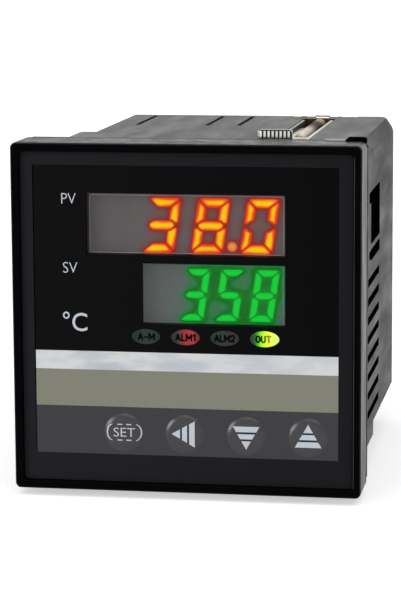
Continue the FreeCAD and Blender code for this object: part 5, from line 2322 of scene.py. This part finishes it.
# The first stop of each halo and ghost scale makes the face glow grey everywhere: painted light that evens
# out the shade the window's walls cast on it.
RED_HALO = scale((0.0, 69, 67, 67), (0.08, 76, 62, 62), (0.24, 90, 48, 46), (0.5, 122, 44, 38),
                 (0.66, 152, 40, 30), (1.0, 144, 36, 26))
GREEN_HALO = scale((0.0, 69, 71, 71), (0.12, 62, 76, 68), (0.27, 38, 98, 60), (0.4, 24, 116, 54),
                   (0.52, 8, 116, 38), (0.64, 0, 106, 18), (1.0, 8, 132, 34))
RED_GHOST = scale((0.0, 67, 64, 64), (0.1, 84, 56, 54), (0.4, 122, 42, 36), (1.0, 150, 38, 28))
DARK = scale((0.0, 0, 0, 0), (1.0, 0, 0, 0))
INK_BODY: Stops = ((0.0, (0.002, 0.002, 0.002)), (1.0, (0.002, 0.002, 0.002)))
INK_LIGHT = scale((0.0, 0, 0, 0), (0.34, 0, 0, 0), (0.42, 62, 76, 14), (0.64, 78, 92, 20),
                  (0.74, 124, 140, 44), (1.0, 136, 152, 54))


def displays() -> list[Display]:
    """Describe the two readings.

    Returns:
        The measured value's and the set value's.
    """
    red_grey, green_grey = (0.074, 0.069, 0.070), (0.072, 0.082, 0.079)
    pv = Display(
        name="pv", text=" 38.0", digit=(8.9, 15.2), bar=2.65, pitch=13.5, centre=(-0.42, 25.35),
        lit=Glow(Slot.RED, RED_GLOW, swing=0.3),
        face=DisplayFace(Slot.DISPLAY, red_grey, RED_HALO, (0.1, 0.6), "pv"),
        unlit=DisplayFace(Slot.DARK_RED, red_grey, RED_GHOST, (0.1, 0.6), "unlit"),
        point=Glow(Slot.RED, POINT_GLOW, label="point"),
        reach=0.8, line_x=(-26.65, 26.75), line_z=(17.95, 33.85), highlight_look=Palette.red_pane_highlight)
    sv = Display(
        name="sv", text=" 358", digit=(6.55, 14.3), bar=1.85, pitch=9.55, centre=(6.7, 6.35),
        lit=Glow(Slot.GREEN, GREEN_GLOW),
        face=DisplayFace(Slot.DISPLAY, green_grey, GREEN_HALO, (0.12, 0.5), "sv"),
        unlit=DisplayFace(Slot.DARK_GREEN, green_grey, GREEN_HALO, (0.12, 0.5), "unlit"),
        reach=1.3, line_x=(-11.6, 26.55), line_z=(-0.95, 14.85), highlight_look=Palette.green_pane_highlight,
        open_line=True, break_width=0.24)
    return [pv, sv]


def indicators() -> list[Indicator]:
    """Describe the four oval lamps.

    Returns:
        The lamps from left to right.
    """
    plain = scale((0.0, 38, 42, 42), (0.5, 45, 58, 53), (1.0, 42, 50, 48))
    alarm = scale((0.0, 38, 42, 42), (0.3, 56, 60, 56), (0.48, 60, 30, 30), (1.0, 60, 40, 38))
    alarm_light = scale((0.0, 0, 0, 0), (0.26, 0, 0, 0), (0.4, 96, 28, 28), (0.52, 148, 40, 42),
                        (0.74, 158, 44, 46), (0.88, 108, 30, 32), (1.0, 60, 22, 22))
    output: Stops = ((0.0, srgb(38, 48, 42)), (0.25, (0.0, 0.02, 0.0)), (1.0, (0.02, 0.02, 0.0)))
    output_light = scale((0.0, 0, 0, 0), (0.08, 22, 46, 26), (0.2, 36, 84, 40), (0.31, 80, 186, 36),
                         (0.42, 146, 246, 30), (0.53, 226, 252, 50), (0.68, 246, 255, 72),
                         (1.0, 214, 248, 138))
    weak = scale((0.0, 38, 42, 42), (0.35, 45, 58, 53), (0.7, 58, 50, 50), (1.0, 58, 50, 50))
    return [
        Indicator("auto", "A-M", 2.45, 0.1, Slot.LAMP_GREEN, plain, DARK),
        Indicator("alarm_1", "ALM1", 2.85, 0.05, Slot.LAMP_RED, alarm, alarm_light),
        Indicator("alarm_2", "ALM2", 2.95, 0.0, Slot.LAMP_RED, weak, DARK),
        Indicator("output", "OUT", 2.2, -0.22, Slot.LAMP_LIT, output, output_light, lit_name=True),
    ]


def keys() -> list[Key]:
    """Describe the four keys.

    Returns:
        The keys from left to right.
    """
    return [
        Key("set", Body.SET_KEY, KeySign.SET),
        Key("shift", Body.SHIFT_KEY, KeySign.LEFT),
        Key("down", Body.DOWN_KEY, KeySign.DOWN),
        Key("up", Body.UP_KEY, KeySign.UP),
    ]


def corners(low: Vector, high: Vector) -> list[list[float]]:
    """A box as plain lists."""
    return [list(low), list(high)]


def main() -> None:
    """Build the stage and every sub-assembly."""
    logging.basicConfig(level=logging.INFO, format="%(message)s")
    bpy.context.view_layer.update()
    parts = [
        Studio(),
        Housing(),
        ClampSet("top", Body.TOP_CLAMP, Body.TOP_SCREW),
        ClampSet("bottom", Body.BOTTOM_CLAMP, Body.BOTTOM_SCREW),
        Front(),
        *displays(),
        *indicators(),
        *keys(),
        Rear(),
        Chassis(),
    ]
    for part in parts:
        LOG.info("building %s", type(part).__name__)
        part.build()


if __name__ == "__main__":
    main()
